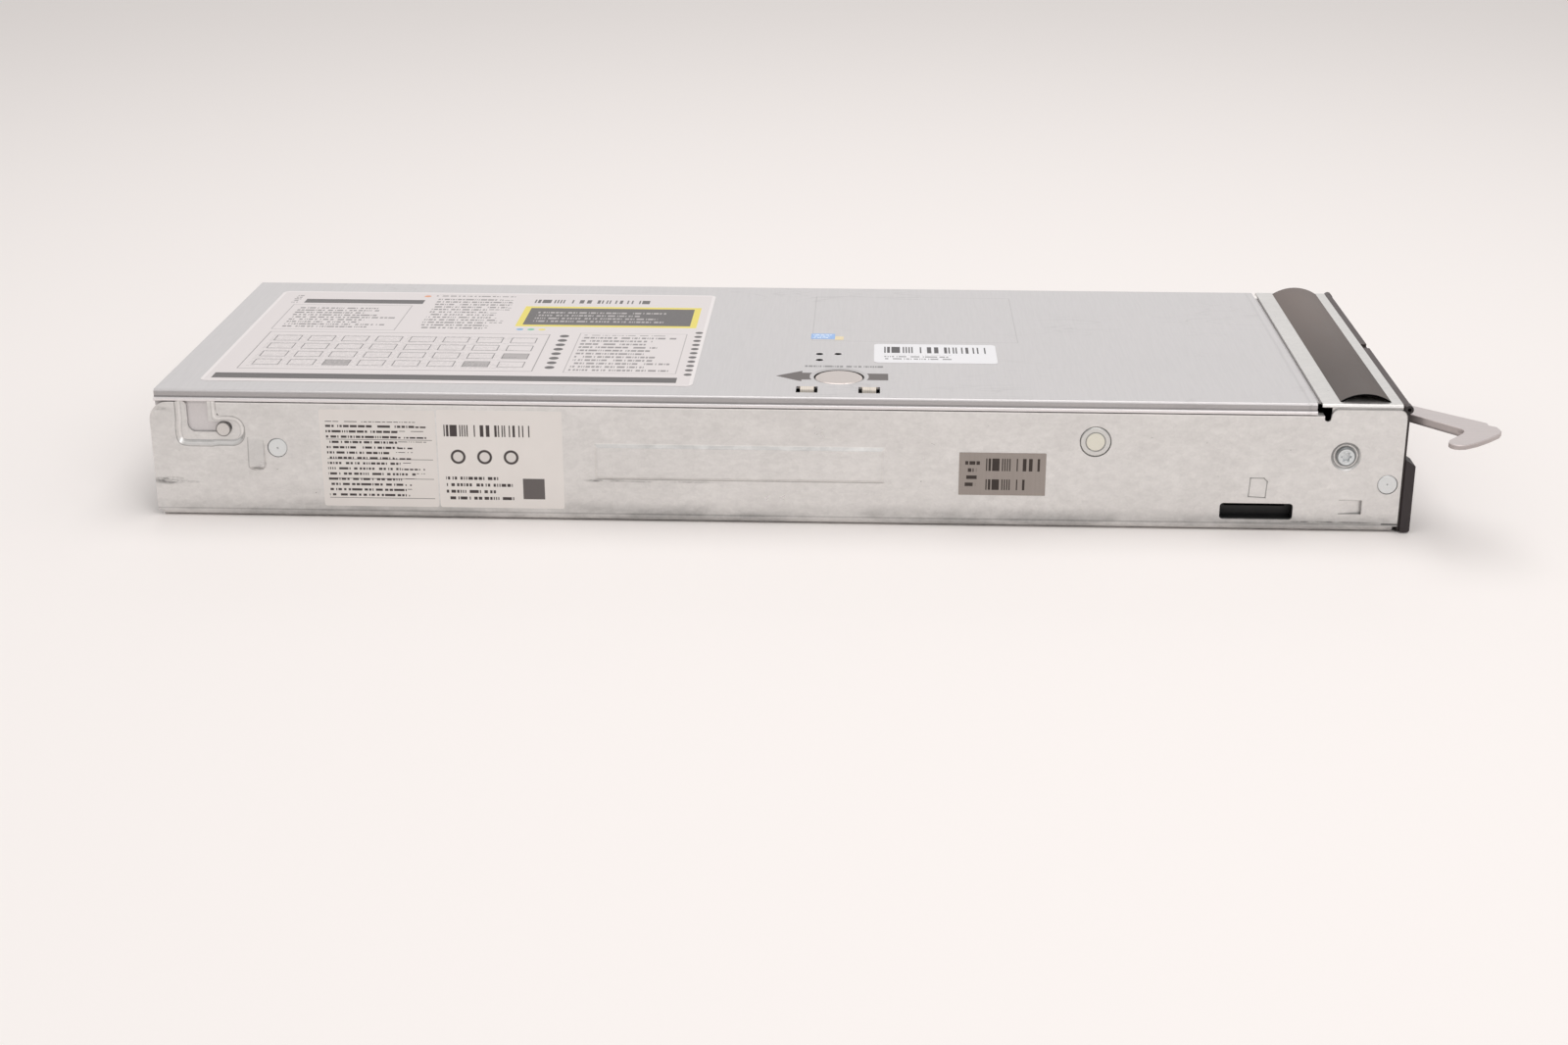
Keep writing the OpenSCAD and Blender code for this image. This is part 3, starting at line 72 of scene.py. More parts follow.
class Value:
    """A number or colour on its way through a finish. Sums on it add Math nodes."""

    def __init__(self, finish, socket):
        self.finish, self.socket = finish, socket

    def sum_with(self, operation, a, b=0.0):
        return self.finish.add("ShaderNodeMath", {"operation": operation}, {0: a, 1: b})

    def __add__(self, other):
        return self.sum_with("ADD", self, other)

    def __radd__(self, other):
        return self.sum_with("ADD", other, self)

    def __sub__(self, other):
        return self.sum_with("SUBTRACT", self, other)

    def __rsub__(self, other):
        return self.sum_with("SUBTRACT", other, self)

    def __mul__(self, other):
        return self.sum_with("MULTIPLY", self, other)

    def __rmul__(self, other):
        return self.sum_with("MULTIPLY", other, self)

    def __truediv__(self, other):
        return self.sum_with("DIVIDE", self, other)

    def __gt__(self, other):
        return self.sum_with("GREATER_THAN", self, other)

    def __lt__(self, other):
        return self.sum_with("LESS_THAN", self, other)

    def __abs__(self):
        return self.sum_with("ABSOLUTE", self)

    def sine(self):
        return self.sum_with("SINE", self)

    def part(self):
        return self.sum_with("FRACT", self)

    def whole(self):
        return self.sum_with("FLOOR", self)

    def root(self):
        return self.sum_with("SQRT", self)

    def least(self, other):
        return self.sum_with("MINIMUM", self, other)

    def most(self, other):
        return self.sum_with("MAXIMUM", self, other)

    def ramp(self, low, high):
        """0 below low, 1 above high, and smooth between them."""
        return self.finish.add("ShaderNodeMapRange", {"interpolation_type": "SMOOTHSTEP"},
                               {0: self, 1: low, 2: high})


class Finish:
    """A material in the making: a shader, and whatever is added to drive it."""

    def __init__(self, name, colour, roughness, metallic=0.0, **sockets):
        self.material = bpy.data.materials.new(name)
        self.material.use_nodes = True
        self.nodes = self.material.node_tree.nodes
        self.links = self.material.node_tree.links
        self.shader = self.nodes["Principled BSDF"]
        self.set(Base_Color=(*colour, 1.0), Roughness=roughness, Metallic=metallic, **sockets)
        self.colour = (*colour, 1.0)
        where = self.nodes.new("ShaderNodeTexCoord").outputs["Object"]
        self.place = Value(self, where)
        self.x, self.y, self.z = (
            self.add("ShaderNodeSeparateXYZ", {}, {0: self.place}, k) for k in range(3))

    def plug(self, socket, value):
        if isinstance(value, Value):
            self.links.new(value.socket, socket)
        else:
            socket.default_value = value

    def add(self, kind, settings=None, sockets=None, out=0):
        """A node with its settings made first, then its sockets; gives the output asked for."""
        node = self.nodes.new(kind)
        for key, value in (settings or {}).items():
            setattr(node, key, value)
        for key, value in (sockets or {}).items():
            self.plug(node.inputs[key], value)
        return Value(self, node.outputs[out])

    def set(self, **sockets):
        for key, value in sockets.items():
            self.plug(self.shader.inputs[key.replace("_", " ")], value)

    def stretched(self, sx=1.0, sy=1.0, sz=1.0):
        return self.add("ShaderNodeMapping", {}, {"Vector": self.place, "Scale": (sx, sy, sz)})

    def noise(self, scale, detail=3.0, roughness=0.5, where=None, distortion=0.0):
        return self.add("ShaderNodeTexNoise", {}, {"Vector": where or self.place, "Scale": scale,
                        "Detail": detail, "Roughness": roughness, "Distortion": distortion}, "Fac")

    def cells(self, scale, out="Color", feature="F1", where=None):
        return self.add("ShaderNodeTexVoronoi", {"feature": feature},
                        {"Vector": where or self.place, "Scale": scale}, out)

    def blend(self, mask, a, b):
        """Colour a where the mask is 0, and b where it is 1."""
        return self.add("ShaderNodeMix", {"data_type": "RGBA"}, {0: mask, 6: a, 7: b}, 2)

    def shade(self, amount, a=None):
        """The colour a, brightened or darkened by a factor that varies over the surface."""
        grey = self.add("ShaderNodeCombineXYZ", {}, {0: amount, 1: amount, 2: amount})
        return self.add("ShaderNodeMix", {"data_type": "RGBA", "blend_type": "MULTIPLY"},
                        {0: 1.0, 6: a or self.colour, 7: grey}, 2)

    def bump(self, height, depth, strength):
        return self.add("ShaderNodeBump", {},
                        {"Strength": strength, "Distance": depth, "Height": height}, "Normal")

    def random(self, value):
        """A number from 0 to 1 that jumps from each whole step of the value to the next."""
        return self.add("ShaderNodeTexWhiteNoise", {"noise_dimensions": "1D"}, {"W": value.whole()}, 0)

    def distance(self, across, up):
        """How far a point is from a centre, from its two distances."""
        return (across * across + up * up).root()

    def box_mark(self, u, v, lo, hi):
        """1 inside a rectangle in the coordinates u and v."""
        return (u > lo[0]) * (u < hi[0]) * (v > lo[1]) * (v < hi[1])

    def frame_mark(self, u, v, lo, hi, width):
        """1 on the outline of a rectangle."""
        inner = self.box_mark(u, v, (lo[0] + width, lo[1] + width), (hi[0] - width, hi[1] - width))
        return self.box_mark(u, v, lo, hi) - inner

    def rows(self, u, v, lo, hi, pitch, seed=0.0, fill=0.5):
        """Rows of short strokes of uneven length, like ruled notes seen from afar."""
        row = (v - lo[1]) / pitch
        strokes = self.random((u + row.whole() * 13.7 + seed) * 2.1) > 0.34
        ends = u < (hi[0] - self.random(row + seed * 77) * (hi[0] - lo[0]) * 0.35)
        return self.box_mark(u, v, lo, hi) * (row.part() < fill) * strokes * ends

    def bars(self, u, v, lo, hi, step):
        """Upright stripes of uneven width."""
        return self.box_mark(u, v, lo, hi) * (self.random((u - lo[0]) / step) > 0.48)

    def slab(self, u, v, lo, hi, r):
        """The distance to a rounded rectangle's edge: negative inside it."""
        du = abs(u - (lo[0] + hi[0]) / 2) - ((hi[0] - lo[0]) / 2 - r)
        dv = abs(v - (lo[1] + hi[1]) / 2) - ((hi[1] - lo[1]) / 2 - r)
        over_u, over_v = du.most(0.0), dv.most(0.0)
        return self.distance(over_u, over_v) + du.most(dv).least(0.0) - r

    def line(self, distance, width, soft=0.0001):
        """1 on a line where the distance is 0."""
        return 1 - abs(distance).ramp(width / 2, width / 2 + soft)

    def round_mark(self, across, up, radius, edge=0.00008):
        """1 within a radius of the point where both distances are 0."""
        return 1 - self.distance(across, up).ramp(radius - edge, radius + edge)


def linear(r, g, b):
    """A colour as a paint chart gives it, from 0 to 255, turned into light."""
    return tuple((c / 255 / 12.92) if c <= 10 else ((c / 255 + 0.055) / 1.055) ** 2.4 for c in (r, g, b))


# ---------------------------------------------------------------- sheet metal

def press_shade_and_highlights(f):
    """Painted shade and painted highlights round the near wall's pressings: dark lines where shade falls round the
    recesses, the tab, the screw dimple, the dent, the bump and the panel, and bright lines and a crescent where
    their upward slopes catch the light.
    """
    def at(x, z):
        return rear_x + x * MM, z * MM

    pin_lo, pin_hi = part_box("bayonet_pins")
    pin_x, pin_z = (pin_lo.x + pin_hi.x) / 2 / MM, (pin_lo.z + pin_hi.z) / 2 / MM
    pin_x -= rear_x / MM
    foot = f.slab(f.x, f.z, at(pin_x - 19.4, pin_z - 6.9), at(pin_x + 9, pin_z + 5.8), 5.6 * MM)
    heel = f.slab(f.x, f.z, at(pin_x - 19.4, pin_z - 6.9), at(pin_x - 2.5, pin_z + 26), 3 * MM)
    recess = f.add("ShaderNodeMath", {"operation": "SMOOTH_MIN"}, {0: foot, 1: heel, 2: 2.4 * MM})
    tab_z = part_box("front_plate")[1].z - 1.8 * MM
    tab = f.slab(f.x, f.z, (front_x - 30.5 * MM, -0.02), (front_x, tab_z), 3.2 * MM)
    screw_x, screw_z = front_x - 23.2 * MM, 32.3 * MM
    screw = f.distance(f.x - screw_x, f.z - screw_z)
    near_front = (f.x > tab_start_x) * (f.z > 0.0488)
    dent = f.slab(f.x, f.z, (front_x - 25.6 * MM, 7.6 * MM), (front_x - 15.2 * MM, 13.5 * MM), 0.4 * MM)
    shadow_side = (f.x > front_x - 24.5 * MM)
    # Painted shade: dark lines in the shadowed edges of the recess, the tab, the screw dimple, the dent, the bump
    # and the panel's foot
    dark = f.line(recess, 0.0003) * 0.42 + f.line(recess + 0.0022, 0.0002) * 0.2
    dark = dark + f.line(tab + 0.0001, 0.0003) * near_front * 0.45
    dark = dark + f.line(screw - 0.0043, 0.0003, 0.0001) * 0.3
    dark = dark + f.line(screw - 0.0061, 0.0001, 0.0002) * 0.05
    dark = dark + f.line(dent, 0.0003) * shadow_side * 0.4
    bump = f.slab(f.x, f.z, at(40, 20.2), at(46.8, 36), 2.2 * MM)
    dark = dark + f.line(bump + 0.0002, 0.0003, 0.0002) * (f.x < rear_x + 0.0425) * (f.z < 0.0345) * 0.2
    dark = dark + f.line(bump + 0.0002, 0.0002) * (f.z < 0.033) * 0.12
    # Painted highlights: a bright band on the recess's upward slope, a bright crescent on the screw dimple's
    # upward slope and a bright line along the panel's top
    slope = (1 - abs(recess + 0.0009).ramp(0.0003, 0.0006)) * (f.z < pin_z * MM - 0.004)
    bright = f.line(recess + 0.0013, 0.0003, 0.0002) * 0.16 + slope * 0.14
    crescent = (1 - abs(screw - 0.0056).ramp(0.0001, 0.0006)) * (f.z - screw_z < -0.0028)
    panel = f.x.ramp(rear_x + 0.183, rear_x + 0.186) * (1 - f.x.ramp(rear_x + 0.302, rear_x + 0.3045))
    dark = dark + f.line(f.z - 18.3 * MM, 0.0003, 0.0003) * panel * 0.25
    bright = bright + f.line(f.z - 33 * MM, 0.0012, 0.0004) * panel * 0.16
    return dark * (f.y < 0), (bright + crescent * 0.2) * (f.y < 0)


def galvanised(name, colour, wear=1.0, marks=()):
    """Hot-dip plated sheet: fine spangle, cloudy patches, rolled grain, rubs, a darker foot that is partly dirt
    and partly painted shade where the sheet meets the floor, and a painted shade line along the bottom bend; wear
    scales the rubs, the foot and that line.

    Each mark darkens a place on the near wall: x and z, half length and half height in mm, and strength. Most are
    dirt and scuffs; the one under the bump's lower end and the one along the front of the bottom bend are painted
    shade."""
    f = Finish(name, colour, 0.36, 0.7)
    clouds = f.noise(20, 5, 0.62, f.stretched(0.5, 1, 1))
    blotches = f.noise(95, 4, 0.68, f.stretched(0.7, 1, 1), 0.6)
    spangle = f.add("ShaderNodeSeparateColor", {}, {0: f.cells(620, where=f.stretched(0.7, 1, 1))})
    grain = f.noise(460, 1, 0.5, f.stretched(0.5, 1, 1))
    dust = f.noise(1100, 0, 0.5)
    scratch_field = f.noise(150, 2, 0.5, f.stretched(0.14, 1, 1), 1.2)
    scratches = (0.010 - abs(scratch_field - 0.52)).most(0.0) * (45 * wear)
    scratches = scratches * f.noise(30, 2).ramp(0.58, 0.72)
    # The darker foot: partly dirt, partly painted shade from the floor contact
    foot = 1 - f.z.ramp(0.0028, 0.0095)
    foot_grime_and_shade = foot * (0.35 + f.noise(60, 4, 0.65, f.stretched(0.3, 1, 1)).ramp(0.38, 0.62)) * wear
    # Painted shade: a dark line along the bottom bend
    bend = (1 - abs(f.z - 0.0031).ramp(0.0001, 0.0005)) * wear
    soil_and_shade = 0.0
    # Dark marks: dirt and scuffs, and painted shade under the bump and along the front of the bottom bend
    for x, z, half_l, half_h, strength in marks:
        reach_x, reach_z = (f.x - rear_x - x * MM) / (half_l * MM), (f.z - z * MM) / (half_h * MM)
        spot = 1 - f.distance(reach_x, reach_z).ramp(0.25, 1.0)
        soil_and_shade = spot * strength + soil_and_shade
    dark, bright = 0.0, 0.0
    # On the near wall: painted shade and highlights round the pressings, and a painted highlight on the rounded
    # top fold
    if marks:
        dark, bright = press_shade_and_highlights(f)
        top_fold_highlight = f.z.ramp(0.0486, 0.0491) * (f.x < tab_start_x) * 0.12
        bright = bright + top_fold_highlight
        soil_and_shade = soil_and_shade * f.noise(260, 4, 0.75, f.stretched(0.35, 1, 1)).ramp(0.36, 0.60) * (f.y < -0.08)
    light = (0.76 + clouds * 0.2 + blotches * 0.24 + (spangle - 0.5) * 0.06 + (grain - 0.5) * 0.13
             + (dust - 0.5) * 0.07)
    f.set(Base_Color=f.shade(light - foot_grime_and_shade * 0.25 - scratches * 0.12 - bend * 0.2 - soil_and_shade - dark + bright),
          Roughness=0.24 + blotches * 0.18 + (spangle - 0.5) * 0.06 + foot_grime_and_shade * 0.15 + scratches * 0.1,
          Normal=f.bump(clouds * 0.4 + blotches * 0.25 + grain * 0.2 + dust * 0.08, 0.0001, 0.24))
    return f.material


def satin_sheet():
    """The hood's smoother sheet, with a fine cross grain, rub marks and a little dust, warm tongues, and painted
    light: shade along the front fold, on the side band, round the button, in each small hole and on the tongues,
    and highlights along the top edge, on the ledge and the ear and round each small hole.
    """
    f = Finish("satin_sheet", linear(204, 200, 200), 0.36, 0.4)
    clouds = f.noise(11, 4, 0.55)
    # Painted shade: a dark line along the front fold, which is also bumped
    bend_line = 1 - abs(f.x - (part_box("front_plate")[0].x - 4.9 * MM)).ramp(0.0002, 0.0009)
    ledge_z = hood_top - 3.1 * MM
    below_top = hood_top - 0.03 * MM
    hem_y, fold_y = -wall_y - 1.2 * MM, -wall_y - 3 * MM
    # Painted shade: the hood's vertical side band below its top edge, and a dark fold line just above the ledge
    side = f.box_mark(f.z, abs(f.y), (ledge_z + 0.02 * MM, 0.0), (hood_top - 0.9 * MM, hem_y))
    side = side * (abs(f.y) > fold_y)
    crease_shade = (1 - abs(f.z - ledge_z - 0.0002).ramp(0.0001, 0.0006)) * (abs(f.y) < hem_y) * side
    round_button = f.distance(f.x - button_x, f.y - button_y)
    # Painted shade: the button opening's inner walls dark and more metallic, and a faint dark ring on the
    # countersink
    gap_shade = (round_button < 10.7 * MM) * (f.z < below_top)
    ring = round_button.ramp(0.0102, 0.0106) * (1 - round_button.ramp(0.0118, 0.0122))
    u, v = (f.x - rear_x) / MM, (f.y - wall_y) / MM
    tongue = f.box_mark(u, v, (267.5, 10), (274.5, 17.05)) + f.box_mark(u, v, (293.2, 10), (300.2, 17.05))
    # Painted light on the tongues: light and shade across their ribbing, and painted shade on their lower part,
    # down in the windows
    rib_shading = tongue * ((f.x * 7400).sine() * 0.5 + 0.5)
    lower = tongue * (1 - f.z.ramp(hood_top - 1.1 * MM, hood_top - 0.3 * MM))
    # Painted highlights on the ledge and along the top edge of the side band, and painted light on the ear, which
    # lies in shade behind the wall
    ledge = (f.z < ledge_z + 0.02 * MM) * (abs(f.y) > hem_y)
    ear = (f.z < ledge_z - 3 * MM) * (abs(f.y) > -wall_y - 5 * MM)
    edge = f.z.ramp(hood_top - 0.9 * MM, hood_top - 0.5 * MM)
    edge = edge * (1 - f.z.ramp(hood_top - 0.12 * MM, hood_top - 0.02 * MM))
    edge = edge * (abs(f.y) > fold_y)
    # Painted shade inside each small hole, made dark and more metallic, and a painted highlight on the far edge
    # round each hole
    hole_shade, rim_highlights = 0.0, 0.0
    for a, b in ((275, 65.3), (283, 65.7), (275.2, 56.2)):
        away = f.distance(u - a, v - b)
        hole_shade = hole_shade + (away < 1.75) * (f.z < below_top)
        rim_highlights = rim_highlights + (away > 1.6) * (away < 2.3) * (v > b + 0.5)
    outline = f.frame_mark(f.x, f.y, (rear_x + 271 * MM, -4.5 * MM), (rear_x + 362 * MM, 72.5 * MM), 0.0004)
    note = f.rows(u * 1.4, v, (377, 45.3), (428, 47.9), 2.6, 0.35, 0.95)
    note = note * (f.z > hood_top - 0.2 * MM)
    grain = f.noise(1300, 3, 0.6, f.stretched(1, 0.05, 1))
    dust = f.noise(3200, 2, 0.75).ramp(0.62, 0.78)
    rub_field = f.noise(46, 2, 0.5, f.stretched(0.5, 1.6, 1), 1.2)
    rubs = (0.02 - abs(rub_field - 0.5)).most(0.0) * 40 * f.noise(17, 2).ramp(0.5, 0.7)
    warm = f.blend(tongue * (1 - gap_shade), f.colour, (*linear(238, 228, 216), 1))
    light = 0.91 + clouds * 0.13 + (grain - 0.5) * 0.13 - rubs * 0.09 + dust * 0.08 - outline * 0.12
    light = light - bend_line * 0.08 - side * 0.22 - crease_shade * 0.22 - ring * 0.05 - note * 0.6
    light = light - tongue * 0.02 - rib_shading * 0.16 - lower * 0.42 - hole_shade * 0.88 - gap_shade * 0.6
    light = light + rim_highlights * 0.25 + edge * 0.12 + ledge * 0.42 + ear * 0.16
    f.set(Base_Color=f.shade(light, warm),
          Roughness=0.27 + clouds * 0.12 + rubs * 0.12 + dust * 0.2 + outline * 0.1 + tongue * 0.3,
          Metallic=0.4 + (hole_shade + gap_shade).least(1.0) * 0.55,
          Normal=f.bump(clouds * 0.4 + grain * 0.10 - rubs * 0.15 - bend_line * 1.5, 0.00012, 0.4))
    return f.material


def button_face():
    """The release button: a plain warm disc with faint turning rings and a painted highlight on its rim, strongest
    at the front.
    """
    f = Finish("button_face", linear(202, 192, 187), 0.4, 0.25)
    across, along = f.x - button_x, f.y - button_y
    radius = f.distance(across, along)
    turned = (radius * 9000).sine()
    # Painted highlight round the rim, strongest on the near side
    rim = radius.ramp(0.0086, 0.0094) * (1.2 - along.ramp(-0.0085, -0.0065))
    clouds = f.noise(120, 4, 0.6)
    specks = f.noise(2100, 2, 0.6)
    f.set(Base_Color=f.shade(0.93 + clouds * 0.1 + turned * 0.012 + (specks - 0.5) * 0.05 + rim * 0.5),
          Roughness=0.34 + clouds * 0.12 - rim * 0.1,
          Normal=f.bump(clouds * 0.3 + turned * 0.05 + specks * 0.2, 0.00003, 0.4))
    return f.material


def plated(name, colour, roughness=0.3):
    """Bright zinc on screws, pins and studs, with fine turning marks."""
    f = Finish(name, colour, roughness, 0.85)
    specks = f.noise(1500, 3, 0.6)
    patches = f.noise(260, 3, 0.5)
    f.set(Base_Color=f.shade(0.86 + patches * 0.2 + (specks - 0.5) * 0.12),
          Roughness=roughness - 0.08 + patches * 0.18 + (specks - 0.5) * 0.1,
          Normal=f.bump(specks * 0.5 + patches, 0.00004, 0.5))
    return f.material


def turned_head(name, node, colour, radius, ring_pitch, dark_from):
    """A turned head on a wall: fine rings round its middle and painted shade round its edge."""
    f = Finish(name, linear(*colour), 0.32, 0.3)
    lo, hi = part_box(node)
    distance = f.distance(f.x - (lo.x + hi.x) / 2, f.z - (lo.z + hi.z) / 2)
    rings = (distance * (2 * pi / (ring_pitch * MM))).sine() * (distance < radius * MM)
    # Painted shade: a dark ring round the head's edge
    edge = f.line(distance - dark_from * MM, 0.0008)
    specks = f.noise(2300, 3, 0.7)
    f.set(Base_Color=f.shade(0.92 + rings * 0.07 + (specks - 0.5) * 0.3 - edge * 0.66),
          Roughness=0.3 + rings * 0.04 + specks * 0.1,
          Normal=f.bump(rings * 0.3 + specks * 0.4, 0.00006, 0.5))
    return f.material


def cast_lever():
    """The lever's satin casting, brushed along its length, with painted shade below its top face and on its lower
    edge, and a painted highlight along its top edge.
    """
    f = Finish("cast_lever", linear(202, 192, 190), 0.36, 0.5)
    low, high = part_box("ejector_lever")
    # Painted shade below the top face and on the lower edge, and a painted highlight along the rounded top edge
    side = 1 - f.z.ramp(high.z - 0.0006, high.z - 0.0003)
    foot = 1 - f.z.ramp(low.z + 0.0001, low.z + 0.0014)
    rim = f.z.ramp(high.z - 0.0004, high.z - 0.0002) * (1 - f.z.ramp(high.z - 0.00004, high.z - 0.00001))
    turned = f.add("ShaderNodeMapping", {},
                   {"Vector": f.place, "Rotation": (0, 0, radians(42)), "Scale": (0.06, 1, 1)})
    brushed = f.noise(1500, 3, 0.6, turned)
    patches = f.noise(70, 4, 0.55)
    light = 0.86 + patches * 0.2 + (brushed - 0.5) * 0.26 - side * 0.16 - foot * 0.4 + rim * 0.2
    f.set(Base_Color=f.shade(light),
          Roughness=0.28 + patches * 0.14 + (brushed - 0.5) * 0.12,
          Normal=f.bump(brushed + patches * 0.8, 0.00003, 0.5))
    return f.material


def stud_finish():
    """The ring studs: a plated ring between two fine dark lines, round a pale insert."""
    f = Finish("stud_finish", linear(214, 213, 210), 0.3, 0.6)
    lo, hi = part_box("ring_studs")
    radius = f.distance(f.x - (lo.x + hi.x) / 2, f.z - (lo.z + hi.z) / 2)
    insert = 1 - radius.ramp(0.00365, 0.0038)
    specks = f.noise(1700, 3, 0.6)
    groove = radius.ramp(0.0037, 0.0039) * (1 - radius.ramp(0.0041, 0.0043))
    rim = radius.ramp(0.0058, 0.0061)
    tint = f.blend(insert, f.shade(0.9 + specks * 0.2), (*linear(230, 226, 212), 1))
    f.set(Base_Color=f.shade(1 - groove * 0.5 - rim * 0.35, tint), Metallic=0.6 - insert * 0.6,
          Roughness=0.3 + insert * 0.2 + (specks - 0.5) * 0.1,
          Normal=f.bump(specks * 0.4 - groove, 0.00008, 0.5))
    return f.material


def disc_finish():
    """The flush discs: a bright face with a fine centre dot and a darker turned rim."""
    f = Finish("disc_finish", linear(226, 228, 228), 0.32, 0.35)
    lo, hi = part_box("flush_rivets")
    r = 4.15 * MM
    back = abs(f.x - (lo.x + r))
    fore = abs(f.x - (hi.x - r))
    rear_one = back < fore
    dx = back.least(fore)
    dz = f.z - (hi.z - r) * rear_one - (lo.z + r) * (1 - rear_one)
    radius = f.distance(dx, dz)
    dot = 1 - radius.ramp(0.0003, 0.00045)
    rim = radius.ramp(0.0037, 0.00405)
    specks = f.noise(1900, 3, 0.6)
    f.set(Base_Color=f.shade(0.94 + specks * 0.1 - rim * 0.4 - dot * 0.35),
          Roughness=0.3 + specks * 0.12, Normal=f.bump(specks * 0.4 - dot, 0.00005, 0.5))
    return f.material


# ---------------------------------------------------------------- other finishes

def moulded(name, colour, roughness=0.45, grain=0.5, wear=0.3):
    """Moulded plastic with a fine spark texture and rubbed patches."""
    f = Finish(name, colour, roughness, 0.0)
    texture = f.noise(3600, 2, 0.6)
    patches = f.noise(60, 4, 0.6)
    f.set(Base_Color=f.shade(0.85 + patches * 0.22 * (1 + wear) + (texture - 0.5) * 0.15),
          Roughness=roughness - 0.08 + patches * 0.2 + (texture - 0.5) * 0.1,
          Normal=f.bump(texture * grain + patches * 0.3, 0.00006, 0.5))
    return f.material


def bezel_skin():
    """The bezel's dark plastic, with a painted highlight along its top edge and painted shade on its ends."""
    f = Finish("bezel_skin", linear(54, 44, 43), 0.45, 0.0)
    low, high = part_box("front_bezel")
    texture = f.noise(3600, 2, 0.6)
    patches = f.noise(60, 4, 0.6)
    # Painted highlight along the top edge, and painted shade on the end faces
    top = f.z.ramp(high.z - 0.0007, high.z - 0.0003)
    end = 1 - (high.y - abs(f.y)).ramp(0.0003, 0.0008)
    light = (0.85 + patches * 0.28 + (texture - 0.5) * 0.15) * (1 - end * 0.55) * (1 + top * 0.7)
    f.set(Base_Color=f.shade(light),
          Roughness=0.37 + patches * 0.2 + (texture - 0.5) * 0.1,
          Normal=f.bump(texture * 0.5 + patches * 0.3, 0.00006, 0.5))
    return f.material


def dark_strip():
    """The arched strip: a dark woven skin over foam, with cloudy wear and dull rubs along its crown, and painted
    shade on its cut ends, where the hollow under the arch lies in shade.
    """
    f = Finish("dark_strip", linear(103, 92, 87), 0.6, 0.0)
    weave = ((f.x * 7800).sine() * (f.y * 7800).sine()) * 0.5 + 0.5
    patches = f.noise(48, 5, 0.65, f.stretched(1, 0.5, 1))
    clouds = f.noise(17, 3, 0.6, f.stretched(1, 0.6, 1), 0.8)
    streaks = f.noise(420, 3, 0.65, f.stretched(1, 0.05, 1))
    low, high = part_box("arched_gasket")
    # Painted shade: the cut ends dark and metallic, for the shadowed hollow under the arch
    cut_end_shade = (f.y < low.y + 0.0006).most(f.y > high.y - 0.0006)
    fading = f.y.ramp(low.y, high.y)
    light = 0.62 + patches * 0.34 + clouds * 0.3 + (streaks - 0.5) * 0.2 + (weave - 0.5) * 0.05
    light = light * (0.8 + fading * fading.root() * 0.55) - cut_end_shade * 0.9
    f.set(Base_Color=f.shade(light), Metallic=cut_end_shade * 0.9,
          Roughness=0.45 + patches * 0.22 + (streaks - 0.5) * 0.1,
          Normal=f.bump(weave * 0.3 + streaks * 0.3 + patches, 0.0001, 0.5))
    return f.material


def circuit_board(name, colour):
    """Solder mask over tracks, with rows of small pads and printed outlines."""
    f = Finish(name, colour, 0.32, 0.0, Coat_Weight=0.25, Coat_Roughness=0.2)
    tracks = f.cells(190, "Distance", "DISTANCE_TO_EDGE", f.stretched(1, 0.3, 1)).ramp(0.03, 0.08)
    parts = f.add("ShaderNodeSeparateColor", {}, {0: f.cells(330)})
    pads = parts.ramp(0.86, 0.88) * (1 - f.cells(330, "Distance").ramp(0.16, 0.22))
    tint = f.blend(tracks, f.shade(1.35), f.shade(0.92))
    f.set(Base_Color=f.blend(pads, tint, (*linear(196, 190, 160), 1)),
          Roughness=0.3 + pads * 0.15 + tracks * 0.08,
          Normal=f.bump(pads - tracks * 0.3, 0.00008, 0.6))
    return f.material


def stamped_fins():
    """Bright aluminium fins, with a grain along their length."""
    f = Finish("stamped_fins", linear(205, 206, 208), 0.34, 0.9)
    grain = f.noise(900, 3, 0.6, f.stretched(0.05, 1, 1))
    patches = f.noise(50, 3, 0.5)
    f.set(Base_Color=f.shade(0.86 + patches * 0.16 + (grain - 0.5) * 0.14), Roughness=0.28 + patches * 0.16,
          Normal=f.bump(grain, 0.00003, 0.4))
    return f.material


def drive_case():
    """A drive's cast case, with a plain printed panel on its lid."""
    f = Finish("drive_case", linear(182, 184, 186), 0.38, 0.75)
    specks = f.noise(1400, 3, 0.6)
    patches = f.noise(60, 3, 0.5)
    f.set(Base_Color=f.shade(0.85 + patches * 0.2 + (specks - 0.5) * 0.14), Roughness=0.32 + patches * 0.15,
          Normal=f.bump(specks, 0.00004, 0.5))
    return f.material


def clear_guide():
    """Clear plastic that carries a lamp's light to the front."""
    f = Finish("clear_guide", (0.86, 0.92, 0.9), 0.12, 0.0, Transmission_Weight=0.7, IOR=1.49)
    haze = f.noise(900, 2, 0.5)
    f.set(Roughness=0.1 + haze * 0.12, Normal=f.bump(haze, 0.00002, 0.4))
    return f.material


# Marks: dirt and scuffs, with painted shade under the bump (44, 21.4) and along the front of the bottom bend (484,
# 3.9)
WALL_SHEET = galvanised("wall_sheet", linear(223, 221, 219), 1.0, (
    (6, 15.2, 9, 2.2, 0.75), (14, 14.6, 8, 0.8, 0.35), (44, 21.4, 3.6, 1.5, 0.8), (188, 17.6, 11, 0.9, 0.6),
    (215, 17.4, 30, 0.6, 0.35), (484, 3.9, 30, 0.5, 0.5), (4, 46.5, 6, 1.2, 0.3)))
PLATE_SHEET = galvanised("plate_sheet", linear(214, 211, 208), 0.6)
INNER_SHEET = galvanised("inner_sheet", linear(198, 196, 192), 0.5)
HOOD_SHEET = satin_sheet()
ZINC = plated("zinc", linear(206, 204, 202))
BUTTON_METAL = button_face()
LEVER_METAL = cast_lever()
